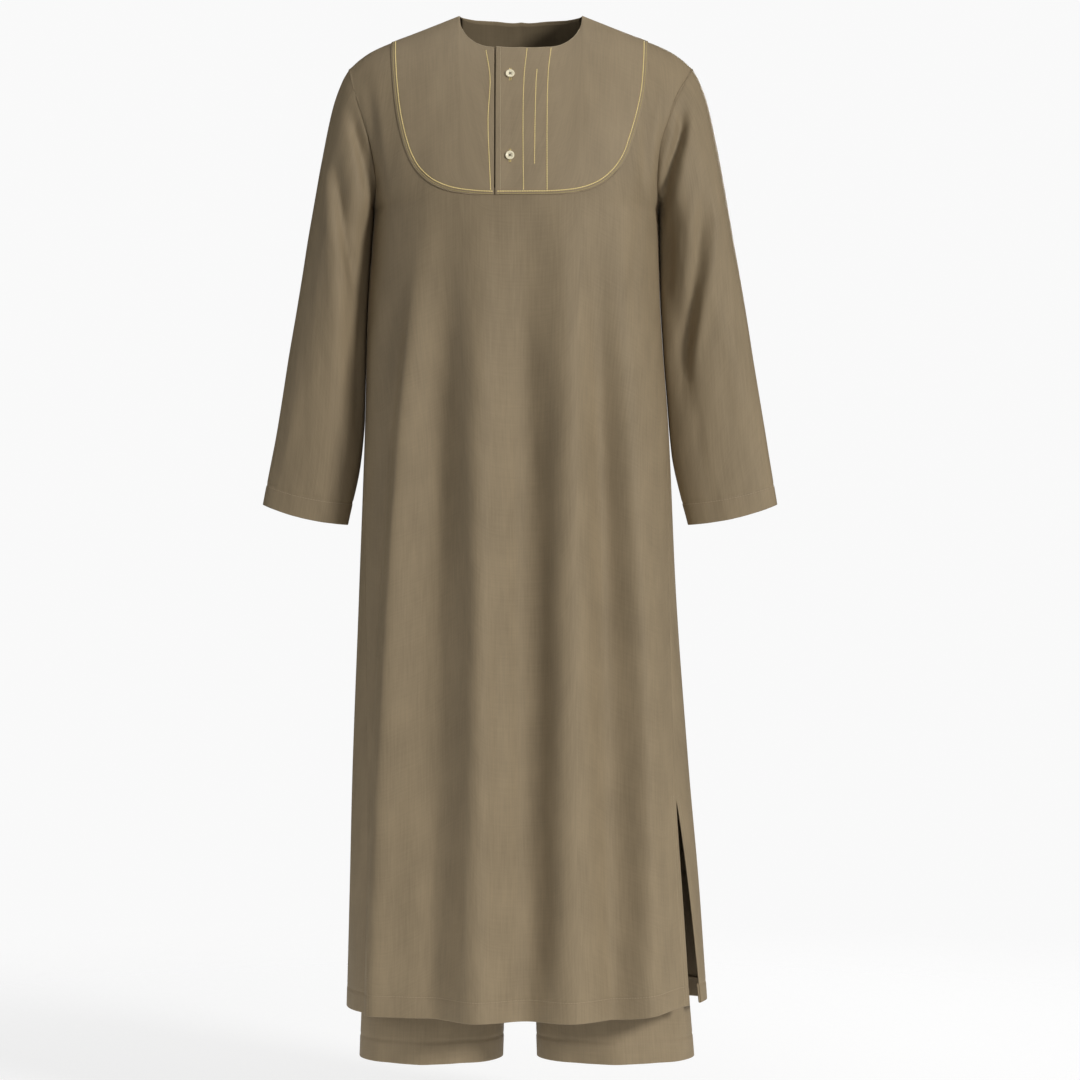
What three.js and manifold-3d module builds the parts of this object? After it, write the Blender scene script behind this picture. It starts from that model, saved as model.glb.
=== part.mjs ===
// A long thobe with the trousers worn under it, standing hollow as if on a wearer.
// Millimetres, +Z up. The front faces -Y and the wearer's left is +X. The origin is midway
// between the two neck points, where the shoulders carry the cloth.

import * as THREE from "three";
import { mergeVertices } from "three/addons/utils/BufferGeometryUtils.js";
import Module from "manifold-3d";

const clothWall = 1.2; // thickness of the panels
const bibWall = 1.0; // thickness of what is applied to them
const gap = 0.3; // between two pieces at a seam
const layerGap = 0.8; // between one lying on the other, whose faces don't meet point for point
const turnedIn = gap / 2; // how far a panel's edge stands back from its seam line

const neckHalfWidth = 82;
const neckDepth = 65; // of the neck hole, to the front and to the back, in plan
const neckPower = { front: 2.6, back: 2 }; // its plan is squarer in front, an ellipse behind
const armpitZ = -262;
const shoulderPoint = { x: 229, z: -71 };
const hemZ = -1325;
const slitTopZ = -1044;
const slitOpenDegrees = 7; // the left slit stands open this far round the body at the hem
const slitShape = 0.65; // below 1, the slit opens fast under its top
const sectionPower = 2.3; // 2 is an ellipse, more is squarer

// Reach of the body's sections to each side, to the front and to the back.
const bodySections = [
  { z: -262, right: 196, left: 184, front: 122, back: 116 },
  { z: -400, right: 205, left: 187, front: 126, back: 115 },
  { z: -560, right: 209, left: 198, front: 127, back: 118 },
  { z: -780, right: 217, left: 208, front: 133, back: 128 },
  { z: -1000, right: 225, left: 224, front: 142, back: 138 },
  { z: -1160, right: 229, left: 238, front: 148, back: 144 },
  { z: -1325, right: 233, left: 249, front: 154, back: 150 },
];

// Where the side seams lie, in degrees round from the front centre.
const sideSeams = [
  { z: -262, right: 90, left: 90 },
  { z: -560, right: 82, left: 80 },
  { z: -860, right: 73, left: 73 },
  { z: -1044, right: 68, left: 70 },
  { z: -1325, right: 64, left: 70 },
];

// The crest that the columns of cloth run up to: inside the neck point, where the neck hole
// is cut out of them before they reach it, and from there out along the shoulder seam.
const neckCrest = [
  { x: 0, front: -1, back: 59 },
  { x: 30, front: -3, back: 52 },
  { x: 50, front: -7, back: 40 },
  { x: 68, front: -9, back: 24 },
  { x: 82, front: 0, back: 0 },
];
const shoulderLine = [
  { x: 82, z: 0 },
  { x: 121, z: -16 },
  { x: 149, z: -27 },
  { x: 176, z: -37 },
  { x: 200, z: -48 },
  { x: 216, z: -59 },
  { x: 229, z: -71 },
];
const columnRise = 0.42; // how far a column first runs straight up, as a share of its length
const columnRoll = 0.27; // and how long it takes to roll over the shoulder
const rollTilt = 0.3; // the slope it arrives with
const armholeHold = 3; // the bend to the armhole keeps to the outer columns, more so above 1

// The armhole seam, whose middle stands inside the shoulder point.
const armholeLine = [
  { z: -262, right: 196, left: 184 },
  { z: -236, right: 191, left: 179.5 },
  { z: -188, right: 197, left: 182 },
  { z: -145, right: 208, left: 195 },
  { z: -110, right: 219, left: 209 },
  { z: -71, right: 229, left: 229 },
];
const armholeDepth = { front: 60, back: 62 };
const mitreLean = 0.6; // how much the walls' mitre there leans away from the hole's middle

// Long folds that hang from the chest and the back: where each runs at three heights, its
// half width and how far it rises from the cloth, or sinks into it where that is negative.
const foldHeights = { top: -327, middle: -700, hem: -1325 };
const foldStartZ = -245;
const foldFullZ = -640;
const foldGrowth = 0.8; // below 1, the folds grow fast under their start
const foldless = { until: 0.05, beyond: 0.45 }; // none at the side seams, by the turn's cosine
const hemLift = { left: 12, right: 3 }; // the hem rises towards the slits
const hemLiftFrom = 0.6; // of the way across to the open one
const frontFolds = [
  { top: -127, middle: -160, hem: -188, width: 19, rise: 10 },
  { top: -97, middle: -110, hem: -118, width: 27, rise: -10 },
  { top: -60, middle: -53, hem: -56, width: 27, rise: 10 },
  { top: 8, middle: 6, hem: 6, width: 27, rise: -11 },
  { top: 62, middle: 64, hem: 66, width: 27, rise: 10 },
  { top: 100, middle: 112, hem: 126, width: 24, rise: -10 },
  { top: 133, middle: 150, hem: 170, width: 25, rise: 8 },
];
const backFolds = [
  { top: -118, middle: -140, hem: -158, width: 27, rise: 9 },
  { top: -74, middle: -88, hem: -96, width: 25, rise: -9 },
  { top: -22, middle: -30, hem: -34, width: 29, rise: 9 },
  { top: 30, middle: 28, hem: 24, width: 27, rise: -11 },
  { top: 84, middle: 86, hem: 92, width: 29, rise: 10 },
  { top: 126, middle: 140, hem: 156, width: 25, rise: -7 },
];

// The bib's outline: its reach to each side at heights down the chest.
const bibOutline = [
  { z: -36, right: 173, left: 170 },
  { z: -70, right: 171, left: 168 },
  { z: -108, right: 167.5, left: 164.5 },
  { z: -142, right: 163, left: 157.5 },
  { z: -175, right: 155.5, left: 148 },
  { z: -200, right: 147, left: 139 },
  { z: -220, right: 135, left: 126 },
  { z: -237, right: 116, left: 107 },
  { z: -248, right: 90, left: 82 },
  { z: -253, right: 60, left: 50 },
];
// How the bib's columns close up where it narrows: the outer ones first, but not onto each other.
const bibHold = { power: 8, least: 0.8 };
const openingX = -33; // the free edge of the lap, at the chest
const openingWidth = 0.6;
const openingEndZ = -242;
const buttonX = -13.6;
const buttonHeights = { upper: -91.6, lower: -202 };
const buttonhole = { length: 16, width: 2.4 };
const underlap = { from: -47, to: 9 };
const foldedEdge = -23; // the lap's stitching, where a column of points runs
const facingLastRow = 3; // of the back panel's rows, about 45 mm below the neckline
const button = { radius: 5.75, thickness: 2.2, rim: 0.5, holeRadius: 0.6, holeRing: 1.7, shank: 0.9 };
const buttonSides = 16;
const holeSides = 6;

// The sleeve as seen from the front: its outer line from the shoulder point to the cuff, and
// its inner line from the armpit. Each side's reach is given, the heights are shared.
const sleeveOuter = [
  { z: -71, right: 229, left: 229 },
  { z: -86, right: 238, left: 238 },
  { z: -112, right: 248, left: 248 },
  { z: -139, right: 255, left: 255 },
  { z: -193, right: 266, left: 266 },
  { z: -246, right: 275.5, left: 275.5 },
  { z: -354, right: 294, left: 294 },
  { z: -461, right: 311.5, left: 311.5 },
  { z: -568, right: 329, left: 329 },
  { z: -655, right: 346, left: 343 },
];
const sleeveInner = [
  { z: -262, right: 196, left: 184 },
  { z: -300, right: 201, left: 188 },
  { z: -400, right: 207, left: 190 },
  { z: -510, right: 211, left: 194 },
  { z: -595, right: 214, left: 203 },
  { z: -682, right: 232, left: 224 },
];
// Half the sleeve's depth from front to back, along its length.
const sleeveDepth = [
  { along: 0, half: 61 },
  { along: 0.15, half: 69 },
  { along: 0.35, half: 66 },
  { along: 0.6, half: 52 },
  { along: 0.85, half: 36 },
  { along: 1, half: 28 },
];
const innerLag = 1.6; // above 1, the rings fan out round the armpit
const capEnd = 0.3; // the armhole's own shape has gone this far down the sleeve
const cuffDip = 5; // the cuff's middle hangs lower than its corners
const cuffDipFrom = 0.7; // of the sleeve's length
const besideBody = 1.5; // between the sleeve and the flank it lies against
const besideFrom = 0.05; // of the sleeve's length, where that distance is reached
// The rings of points down a sleeve, closer together where it leaves the armhole.
const sleeveRings = [0, 0.02, 0.06, 0.11, 0.17, 0.23, 0.3, 0.37, 0.45, 0.53, 0.62, 0.72, 0.82, 0.91, 1];

// The sleeve's largest creases as seen from the front or the back, each from its first point
// by its middle one to its last. The two sleeves and their two faces don't repeat each other.
const sleeveCreases = [
  { side: 1, face: -1, x0: 244, z0: -219, x1: 229, z1: -344, x2: 195, z2: -513, width: 13, rise: -8 },
  { side: 1, face: -1, x0: 203, z0: -290, x1: 200, z1: -350, x2: 197, z2: -420, width: 9, rise: 5 },
  { side: 1, face: -1, x0: 268, z0: -370, x1: 288, z1: -470, x2: 312, z2: -590, width: 17, rise: 4 },
  { side: -1, face: -1, x0: 247, z0: -193, x1: 228, z1: -310, x2: 205, z2: -404, width: 12, rise: -7 },
  { side: -1, face: -1, x0: 222, z0: -290, x1: 216, z1: -330, x2: 210, z2: -380, width: 9, rise: 5 },
  { side: -1, face: -1, x0: 250, z0: -280, x1: 246, z1: -375, x2: 240, z2: -480, width: 15, rise: 4 },
  { side: 1, face: 1, x0: 250, z0: -200, x1: 226, z1: -300, x2: 204, z2: -400, width: 13, rise: -7 },
  { side: 1, face: 1, x0: 262, z0: -330, x1: 262, z1: -430, x2: 270, z2: -540, width: 16, rise: 4 },
  { side: -1, face: 1, x0: 240, z0: -230, x1: 232, z1: -330, x2: 214, z2: -440, width: 13, rise: -7 },
  { side: -1, face: 1, x0: 270, z0: -300, x1: 276, z1: -420, x2: 290, z2: -520, width: 16, rise: 4 },
];
const creaseFacing = { power: 0.7, from: 0.08 }; // creases fade at the sleeve's edges and armhole
const creaseEnds = 0.5; // how fast they fade beyond their ends

const waistZ = -440;
const waistbandHeight = 40;
const waistbandWall = 2.4;
const crotchZ = -730;
const forkTopZ = -610; // the legs have merged into the hips here
const forkShape = 0.5; // below 1, they merge fast above the crotch
const trouserHemZ = -1392;
const trouserColumns = 10;
const waistStations = 32;
// The hips' sections, and each leg's from its outer to its inner side.
const hipSections = [
  { z: -440, side: 142, front: 88, back: 94 },
  { z: -480, side: 146, front: 90, back: 97 },
  { z: -600, side: 172, front: 104, back: 106 },
  { z: -730, side: 186, front: 108, back: 108 },
];
const legSections = [
  { z: -730, right: 190, left: 186, rightInner: 0.4, leftInner: 0.4, front: 100, back: 102 },
  { z: -900, right: 196, left: 192, rightInner: 7, leftInner: 6, front: 92, back: 96 },
  { z: -1100, right: 205, left: 208, rightInner: 15, leftInner: 13, front: 82, back: 87 },
  { z: -1392, right: 216, left: 232, rightInner: 24, leftInner: 21.5, front: 75, back: 77 },
];

// What the colours follow, and how the cloth and the buttons take light.
const looks = {
  cloth: { color: 0x92826a, roughness: 0.7, metalness: 0 },
  bib: { color: 0x9a8a72, roughness: 0.62, metalness: 0 },
  lining: { color: 0x6f6350, roughness: 0.8, metalness: 0 },
  button: { color: 0xe6dcc4, roughness: 0.35, metalness: 0 },
};

const { clamp, lerp, smoothstep } = THREE.MathUtils;
const point = (x, y, z) => new THREE.Vector3(x, y, z);
const sideName = (x) => (x < 0 ? "right" : "left");
const between = (from, to, count) =>
  Array.from({ length: count }, (_, k) => lerp(from, to, (k + 1) / (count + 1)));
const nearby = 0.01; // a small step, in radians or shares, to take a slope over

// One column of a table at any place between its rows, on a smooth curve through them.
function read(table, key, column, at) {
  const last = table.length - 1;
  const way = Math.sign(table[last][key] - table[0][key]);
  let k = 0;
  while (k < last - 1 && (at - table[k + 1][key]) * way > 0) k += 1;
  const slope = (i) => {
    const before = table[Math.max(i - 1, 0)];
    const after = table[Math.min(i + 1, last)];
    return (after[column] - before[column]) / (after[key] - before[key]);
  };
  const span = table[k + 1][key] - table[k][key];
  const s = clamp((at - table[k][key]) / span, 0, 1);
  const here = (1 + 2 * s) * (1 - s) ** 2 * table[k][column] + s * (1 - s) ** 2 * span * slope(k);
  const next = s ** 2 * (3 - 2 * s) * table[k + 1][column] + s ** 2 * (s - 1) * span * slope(k + 1);
  return here + next;
}

// The value between low and high where the rising function passes the target.
function solve(rising, target, low, high) {
  let [from, to] = [low, high];
  for (let step = 0; step < 40; step += 1) {
    const middle = (from + to) / 2;
    if (rising(middle) < target) from = middle;
    else to = middle;
  }
  return (from + to) / 2;
}

// A point of the body's section at a height. Turn 0 is the front centre and a quarter turn is
// the wearer's left side.
function sectionPoint(z, turn) {
  const aside = Math.sin(turn);
  const ahead = Math.cos(turn);
  const wide = Math.abs(aside) / read(bodySections, "z", sideName(aside), z);
  const deep = Math.abs(ahead) / read(bodySections, "z", ahead > 0 ? "front" : "back", z);
  const reach = (wide ** sectionPower + deep ** sectionPower) ** (-1 / sectionPower);
  return point(reach * aside, -reach * ahead, z);
}

// How far the long folds lift the cloth at a place seen from the front.
function foldRise(isFront, x, z) {
  const growth = smoothstep(-z, -foldStartZ, -foldFullZ) ** foldGrowth;
  const { top, middle, hem } = foldHeights;
  let rise = 0;
  for (const fold of isFront ? frontFolds : backFolds) {
    const path = [
      { z: top, x: fold.top },
      { z: middle, x: fold.middle },
      { z: hem, x: fold.hem },
    ];
    rise += fold.rise * Math.exp(-(((x - read(path, "z", "x", z)) / fold.width) ** 2));
  }
  return rise * growth;
}

// The body below the armpits. Across runs from -1 at the right side seam to 1 at the left.
function lowerPoint(isFront, across, z) {
  const side = sideName(across);
  const seam = THREE.MathUtils.degToRad(read(sideSeams, "z", side, z));
  const belowSlit = clamp((slitTopZ - z) / (slitTopZ - hemZ), 0, 1);
  const open = side === "left" ? THREE.MathUtils.degToRad(slitOpenDegrees) * belowSlit ** slitShape : 0;
  const backTurn = Math.sign(across || 1) * (Math.PI - Math.abs(across) * (Math.PI - seam - open));
  const turn = isFront ? across * seam : backTurn;
  const base = sectionPoint(z, turn);
  const facing = smoothstep(Math.abs(Math.cos(turn)), foldless.until, foldless.beyond);
  const outward = sectionPoint(z, turn + nearby).sub(sectionPoint(z, turn - nearby));
  outward.set(outward.y, -outward.x, 0).normalize();
  if (outward.dot(point(base.x, base.y, 0)) < 0) outward.negate();
  const toOpenSlit = smoothstep(across, hemLiftFrom, 1) * belowSlit ** 2;
  const lift = side === "left" ? hemLift.left * toOpenSlit : hemLift.right * across ** 2 * belowSlit;
  return base.addScaledVector(outward, foldRise(isFront, base.x, z) * facing).add(point(0, 0, lift));
}

// How far across the panel the chest reaches a given X.
function acrossAtX(x) {
  const side = Math.sign(x || 1);
  return side * solve((q) => Math.abs(sectionPoint(armpitZ, side * q * Math.PI / 2).x), Math.abs(x), 0, 1);
}

// Where a column of the panel would meet the crest.
function crestPoint(isFront, across) {
  const chestX = sectionPoint(armpitZ, across * Math.PI / 2).x;
  const reach = read(bodySections, "z", sideName(across), armpitZ);
  const x = Math.abs(chestX) * (1 + (shoulderPoint.x / reach - 1) * (chestX / reach) ** 2);
  const isInside = x < neckHalfWidth;
  const z = isInside ? read(neckCrest, "x", isFront ? "front" : "back", x) : read(shoulderLine, "x", "z", x);
  return point(Math.sign(across || 1) * x, 0, z);
}
const neckAcross = {
  right: -solve((q) => -crestPoint(true, -q).x, neckHalfWidth, 0, 1),
  left: solve((q) => crestPoint(true, q).x, neckHalfWidth, 0, 1),
};

// A column from the chest to the crest: a Bezier curve that leaves the chest upright and
// rolls over the shoulder.
function columnPoint(isFront, across, t) {
  const turn = isFront ? across * Math.PI / 2 : Math.PI - across * Math.PI / 2;
  const start = sectionPoint(armpitZ, turn);
  const end = crestPoint(isFront, across);
  const arrive = point(0, isFront ? 1 : -1, rollTilt).normalize();
  const length = start.distanceTo(end);
  const p1 = start.clone().add(point(0, 0, columnRise * length));
  const p2 = end.clone().addScaledVector(arrive, -columnRoll * length);
  return new THREE.CubicBezierCurve3(start, p1, p2, end).getPoint(t);
}

// How much of a column is left once the neck hole is cut.
function columnShare(isFront, across) {
  if (Math.abs(across) >= Math.abs(neckAcross[sideName(across)])) return 1;
  const power = neckPower[isFront ? "front" : "back"];
  const inside = (t) => {
    const p = columnPoint(isFront, across, t);
    return -(Math.abs(p.x / neckHalfWidth) ** power + Math.abs(p.y / neckDepth) ** power);
  };
  return solve(inside, -1, 0, 1);
}

function armholePoint(isFront, side, t) {
  const middle = (armpitZ + shoulderPoint.z) / 2;
  const half = (shoulderPoint.z - armpitZ) / 2;
  const z = middle - half * Math.cos(Math.PI * t);
  const depth = isFront ? -armholeDepth.front : armholeDepth.back;
  return point(side * read(armholeLine, "z", sideName(side), z), depth * Math.sin(Math.PI * t), z);
}

// The body above the armpits. The outer columns are bent to end on the armhole.
function upperPoint(isFront, across, t) {
  const side = Math.sign(across || 1);
  const bend = armholePoint(isFront, side, t).sub(columnPoint(isFront, side, t));
  const column = columnPoint(isFront, across, t * columnShare(isFront, across));
  return column.addScaledVector(bend, Math.abs(across) ** armholeHold);
}

const bodyPoint = (isFront, across, level) =>
  "t" in level ? upperPoint(isFront, across, level.t) : lowerPoint(isFront, across, level.z);

// The height along the button's column, as a share of the way up from the chest.
const buttonAcross = acrossAtX(buttonX);
const tAtZ = (z) => solve((t) => upperPoint(true, buttonAcross, t).z, z, 0, 1);

const middleOf = (row) => row.reduce((sum, p) => sum.add(p), point(0, 0, 0)).divideScalar(row.length);

// Unit normals of a grid of points, all facing away from the wearer: from the upright axis
// through the origin, or from the middle of each row.
function gridNormals(rows, { isRing = false, fromAxis = true } = {}) {
  const middles = rows.map((row) => (fromAxis ? point(0, 0, row[0].z) : middleOf(row)));
  const normals = rows.map((row, i) =>
    row.map((p, j) => {
      const n = row.length;
      const before = row[isRing ? (j + n - 1) % n : Math.max(j - 1, 0)];
      const after = row[isRing ? (j + 1) % n : Math.min(j + 1, n - 1)];
      const above = rows[Math.max(i - 1, 0)][j];
      const below = rows[Math.min(i + 1, rows.length - 1)][j];
      return after.clone().sub(before).cross(below.clone().sub(above)).normalize();
    }),
  );
  const outwards = rows.reduce(
    (sum, row, i) => sum + row.reduce((s, p, j) => s + p.clone().sub(middles[i]).dot(normals[i][j]), 0),
    0,
  );
  if (outwards < 0) normals.flat().forEach((n) => n.negate());
  return normals;
}

// Gives all of these edges one common normal, so that the walls meet in a mitre.
function shareNormal(normals, bias = point(0, 0, 0)) {
  const sum = normals.reduce((total, n) => total.add(n), bias.clone()).normalize();
  normals.forEach((n) => n.copy(sum));
}

// Draws one edge point back from its seam, towards the next point of its own panel.
function drawBack(p, neighbour) {
  p.addScaledVector(neighbour.clone().sub(p).normalize(), turnedIn);
}

// A closed wall over a grid of points, from one height above the grid's surface to another.
// Cells for which isCut holds are left out, and the wall gets an edge round them.
function wallGeometry(rows, normals, { above, below, isRing = false, isCut = () => false }) {
  const columns = rows[0].length;
  const cellsAcross = isRing ? columns : columns - 1;
  const isThere = (i, j) => {
    if (i < 0 || i > rows.length - 2) return false;
    if (!isRing && (j < 0 || j > cellsAcross - 1)) return false;
    return !isCut(i, (j + columns) % columns);
  };
  const numbers = new Map();
  const positions = [];
  const vertex = (i, j, height) => {
    const column = (j + columns) % columns;
    const key = `${i},${column},${height}`;
    if (!numbers.has(key)) {
      numbers.set(key, positions.length / 3);
      positions.push(...rows[i][column].clone().addScaledVector(normals[i][column], height).toArray());
    }
    return numbers.get(key);
  };
  const faces = [];
  const quad = (a, b, c, d) => faces.push([a, b, c], [a, c, d]);
  // A cell's corners, turned so that its shorter diagonal splits it.
  const cornersOf = (i, j) => {
    const corners = [[i, j], [i, j + 1], [i + 1, j + 1], [i + 1, j]];
    const [a, b, c, d] = corners.map(([r, k]) => rows[r][(k + columns) % columns]);
    return a.distanceTo(c) <= b.distanceTo(d) ? corners : [...corners.slice(1), corners[0]];
  };
  const side = ([i, j], [k, l]) =>
    quad(vertex(k, l, above), vertex(i, j, above), vertex(i, j, below), vertex(k, l, below));
  for (let i = 0; i < rows.length - 1; i += 1) {
    for (let j = 0; j < cellsAcross; j += 1) {
      if (!isThere(i, j)) continue;
      const corners = [[i, j], [i, j + 1], [i + 1, j + 1], [i + 1, j]];
      const turned = cornersOf(i, j);
      quad(...turned.map(([r, c]) => vertex(r, c, above)));
      const [a, b, c, d] = turned.map(([r, k]) => vertex(r, k, below));
      quad(a, d, c, b);
      if (!isThere(i - 1, j)) side(corners[0], corners[1]);
      if (!isThere(i, j + 1)) side(corners[1], corners[2]);
      if (!isThere(i + 1, j)) side(corners[2], corners[3]);
      if (!isThere(i, j - 1)) side(corners[3], corners[0]);
    }
  }
  const at = (k) => new THREE.Vector3().fromArray(positions, 3 * k);
  const volume = faces.reduce((sum, [a, b, c]) => sum + at(a).dot(at(b).cross(at(c))), 0);
  const outwards = volume < 0 ? faces.map(([a, b, c]) => [a, c, b]) : faces;
  const geometry = new THREE.BufferGeometry();
  geometry.setAttribute("position", new THREE.Float32BufferAttribute(positions, 3));
  geometry.setIndex(outwards.flat());
  return geometry;
}

const set = new THREE.Group();

function addPiece(name, look, geometry) {
  geometry.computeVertexNormals();
  const mesh = new THREE.Mesh(geometry, new THREE.MeshStandardMaterial(looks[look]));
  mesh.name = name;
  set.add(mesh);
}

// Heights and columns of the two body panels. Extra ones bound the opening and buttonholes.
const holeEnds = (z) => [tAtZ(z + buttonhole.length / 2), tAtZ(z - buttonhole.length / 2)];
const [upperHoleTop, upperHoleEnd] = holeEnds(buttonHeights.upper);
const [lowerHoleTop, lowerHoleEnd] = holeEnds(buttonHeights.lower);
const openingEnd = tAtZ(openingEndZ);
const upperShares = [
  1,
  ...between(1, upperHoleTop, 1),
  upperHoleTop,
  upperHoleEnd,
  ...between(upperHoleEnd, lowerHoleTop, 4),
  lowerHoleTop,
  lowerHoleEnd,
  openingEnd,
  0,
];
const lowerHeights = [-305, -355, -420, -500, -590, -690, -790, -885, -970];
const slitHeights = [slitTopZ, -1080, -1145, -1230, hemZ];
const levels = [
  ...upperShares.map((t) => ({ t })),
  ...lowerHeights.map((z) => ({ z })),
  ...slitHeights.map((z) => ({ z })),
];

const outerShares = [...between(0, 1, 6), 1];
const outerColumns = (side) =>
  outerShares.map((share) => lerp(neckAcross[side], side === "left" ? 1 : -1, share));
const neckColumns = (xs) => [neckAcross.right, ...xs.map(acrossAtX), neckAcross.left];
const asideOf = (x, width) => [x - width / 2, x + width / 2];
const frontInner = [
  -77, -66, -48, ...asideOf(openingX, openingWidth), foldedEdge, ...asideOf(buttonX, buttonhole.width),
  2, 17, 33, 50, 66, 77,
];
const backInner = [-77, -66, -50, -34, -17, 0, 17, 34, 50, 66, 77];
const columnsWith = (inner) => [
  ...outerColumns("right").reverse(),
  ...neckColumns(inner),
  ...outerColumns("left"),
];
const columns = { front: columnsWith(frontInner), back: columnsWith(backInner) };

const gridOf = (isFront, acrosses) =>
  levels.map((level) => acrosses.map((q) => bodyPoint(isFront, q, level)));
const body = {
  front: { rows: gridOf(true, columns.front) },
  back: { rows: gridOf(false, columns.back) },
};
body.front.normals = gridNormals(body.front.rows);
body.back.normals = gridNormals(body.back.rows);

// A sleeve: ovals between its outer and inner lines, starting as the armhole itself.
function sleeveGrid(side) {
  const name = sideName(side);
  const lineOf = (table) =>
    new THREE.CatmullRomCurve3(table.map((row) => point(side * row[name], 0, row.z)), false, "centripetal");
  const outer = lineOf(sleeveOuter);
  const inner = lineOf(sleeveInner);
  const shares = upperShares.slice().reverse();
  const stations = [
    ...shares.map((t) => ({ isFront: true, t })),
    ...shares.slice(1, -1).reverse().map((t) => ({ isFront: false, t })),
  ];
  const oval = (station, along) => {
    const far = outer.getPointAt(along);
    const near = inner.getPointAt(along ** innerLag);
    const depth = read(sleeveDepth, "along", "half", along) * (station.isFront ? -1 : 1);
    const angle = Math.PI * station.t;
    const centre = far.clone().add(near).multiplyScalar(0.5);
    const p = centre.clone().addScaledVector(far.clone().sub(near), -0.5 * Math.cos(angle));
    return { centre, p: p.add(point(0, depth * Math.sin(angle), 0)) };
  };
  const down = outer.getTangentAt(1);
  return sleeveRings.map((along) =>
    stations.map((station) => {
      const { centre, p } = oval(station, along);
      const seam = armholePoint(station.isFront, side, station.t);
      p.addScaledVector(seam.sub(oval(station, 0).p), 1 - smoothstep(along, 0, capEnd));
      const dip = cuffDip * Math.sin(Math.PI * station.t) ** 2;
      p.addScaledVector(down, dip * smoothstep(along, cuffDipFrom, 1));
      if (along > 0) {
        p.addScaledVector(p.clone().sub(centre).normalize(), creaseRise(side, station, p, along));
      }
      return clearOfBody(p, side, along);
    }),
  );
}

// How far the creases lift a sleeve's cloth at a place.
function creaseRise(side, station, p, along) {
  const face = station.isFront ? -1 : 1;
  const middling = Math.sin(Math.PI * station.t) ** creaseFacing.power;
  const facing = middling * smoothstep(along, 0, creaseFacing.from);
  let rise = 0;
  for (const crease of sleeveCreases.filter((c) => c.side === side && c.face === face)) {
    const { x0, z0, x1, z1, x2, z2 } = crease;
    const z = clamp(p.z, z2, z0);
    const path = [{ z: z0, x: x0 }, { z: z1, x: x1 }, { z: z2, x: x2 }];
    const distance = Math.hypot(side * p.x - read(path, "z", "x", z), creaseEnds * (p.z - z));
    rise += crease.rise * Math.exp(-((distance / crease.width) ** 2));
  }
  return rise * facing;
}

// Keeps a sleeve's point beside the flank.
function clearOfBody(p, side, along) {
  if (along === 0) return p;
  const name = sideName(side);
  const deep = read(bodySections, "z", p.y < 0 ? "front" : "back", p.z);
  const wide = read(bodySections, "z", name, p.z);
  const flank = wide * Math.max(1 - (Math.abs(p.y) / deep) ** sectionPower, 0) ** (1 / sectionPower);
  const body = p.z < armpitZ ? flank : read(armholeLine, "z", name, p.z);
  const least = body + besideBody * Math.min(along / besideFrom, 1);
  const x = side * p.x;
  return p.setX(side * (x + least + Math.hypot(x - least, 1)) / 2);
}

const sleeves = [-1, 1].map((side) => {
  const rows = sleeveGrid(side);
  return { side, rows, normals: gridNormals(rows, { isRing: true, fromAxis: false }) };
});

// The walls meet in mitres along the shoulder, side and armhole seams.
const upperCount = upperShares.length;
const slitRow = upperCount + lowerHeights.length;
const indexBack = (q) => columns.back.indexOf(q);
columns.front.forEach((q, j) => {
  if (Math.abs(q) >= Math.abs(neckAcross[sideName(q)])) {
    shareNormal([body.front.normals[0][j], body.back.normals[0][indexBack(q)]]);
  }
});
for (let i = 0; i <= slitRow; i += 1) {
  shareNormal([body.front.normals[i][0], body.back.normals[i][0]]);
  shareNormal([body.front.normals[i].at(-1), body.back.normals[i].at(-1)]);
}
for (const { side, rows, normals } of sleeves) {
  const edge = (i) => (side < 0 ? i[0] : i.at(-1));
  const count = rows[0].length;
  const middle = middleOf(rows[0]);
  for (let k = 0; k < upperCount; k += 1) {
    const row = upperCount - 1 - k;
    const away = (p) => p.clone().sub(middle).setX(0).normalize().multiplyScalar(mitreLean);
    const backK = (count - k) % count;
    const isShared = k === 0 || k === upperCount - 1;
    const frontEdge = edge(body.front.normals[row]);
    const backEdge = edge(body.back.normals[row]);
    if (isShared) {
      shareNormal([frontEdge, backEdge, normals[0][k]], away(rows[0][k]));
    } else {
      shareNormal([frontEdge, normals[0][k]], away(rows[0][k]));
      shareNormal([backEdge, normals[0][backK]], away(rows[0][backK]));
    }
  }
  rows[0].forEach((p) => p.setX(p.x + side * (gap + turnedIn / 2)));
}

// Each panel stands back from its seams by half the gap.
for (const { rows } of [body.front, body.back]) {
  rows.forEach((row) => {
    drawBack(row[0], row[1]);
    drawBack(row.at(-1), row.at(-2));
  });
}
for (const panel of ["front", "back"]) {
  columns[panel].forEach((q, j) => {
    if (Math.abs(q) >= Math.abs(neckAcross[sideName(q)])) {
      drawBack(body[panel].rows[0][j], body[panel].rows[1][j]);
    }
  });
}

const openingColumn = columns.front.indexOf(acrossAtX(asideOf(openingX, openingWidth)[0]));
const holeColumn = columns.front.indexOf(acrossAtX(asideOf(buttonX, buttonhole.width)[0]));
const holeRows = [upperShares.indexOf(upperHoleTop), upperShares.indexOf(lowerHoleTop)];
const openingEndRow = upperShares.indexOf(openingEnd);
addPiece("thobe_front", "cloth", wallGeometry(body.front.rows, body.front.normals, {
  above: 0,
  below: -clothWall,
  isCut: (i, j) => (j === openingColumn && i < openingEndRow) || (j === holeColumn && holeRows.includes(i)),
}));
const panelHeights = { above: 0, below: -clothWall };
addPiece("thobe_back", "cloth", wallGeometry(body.back.rows, body.back.normals, panelHeights));
for (const { side, rows, normals } of sleeves) {
  addPiece(`sleeve_${sideName(side)}`, "cloth", wallGeometry(rows, normals, {
    above: 0,
    below: -clothWall,
    isRing: true,
  }));
}

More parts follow.
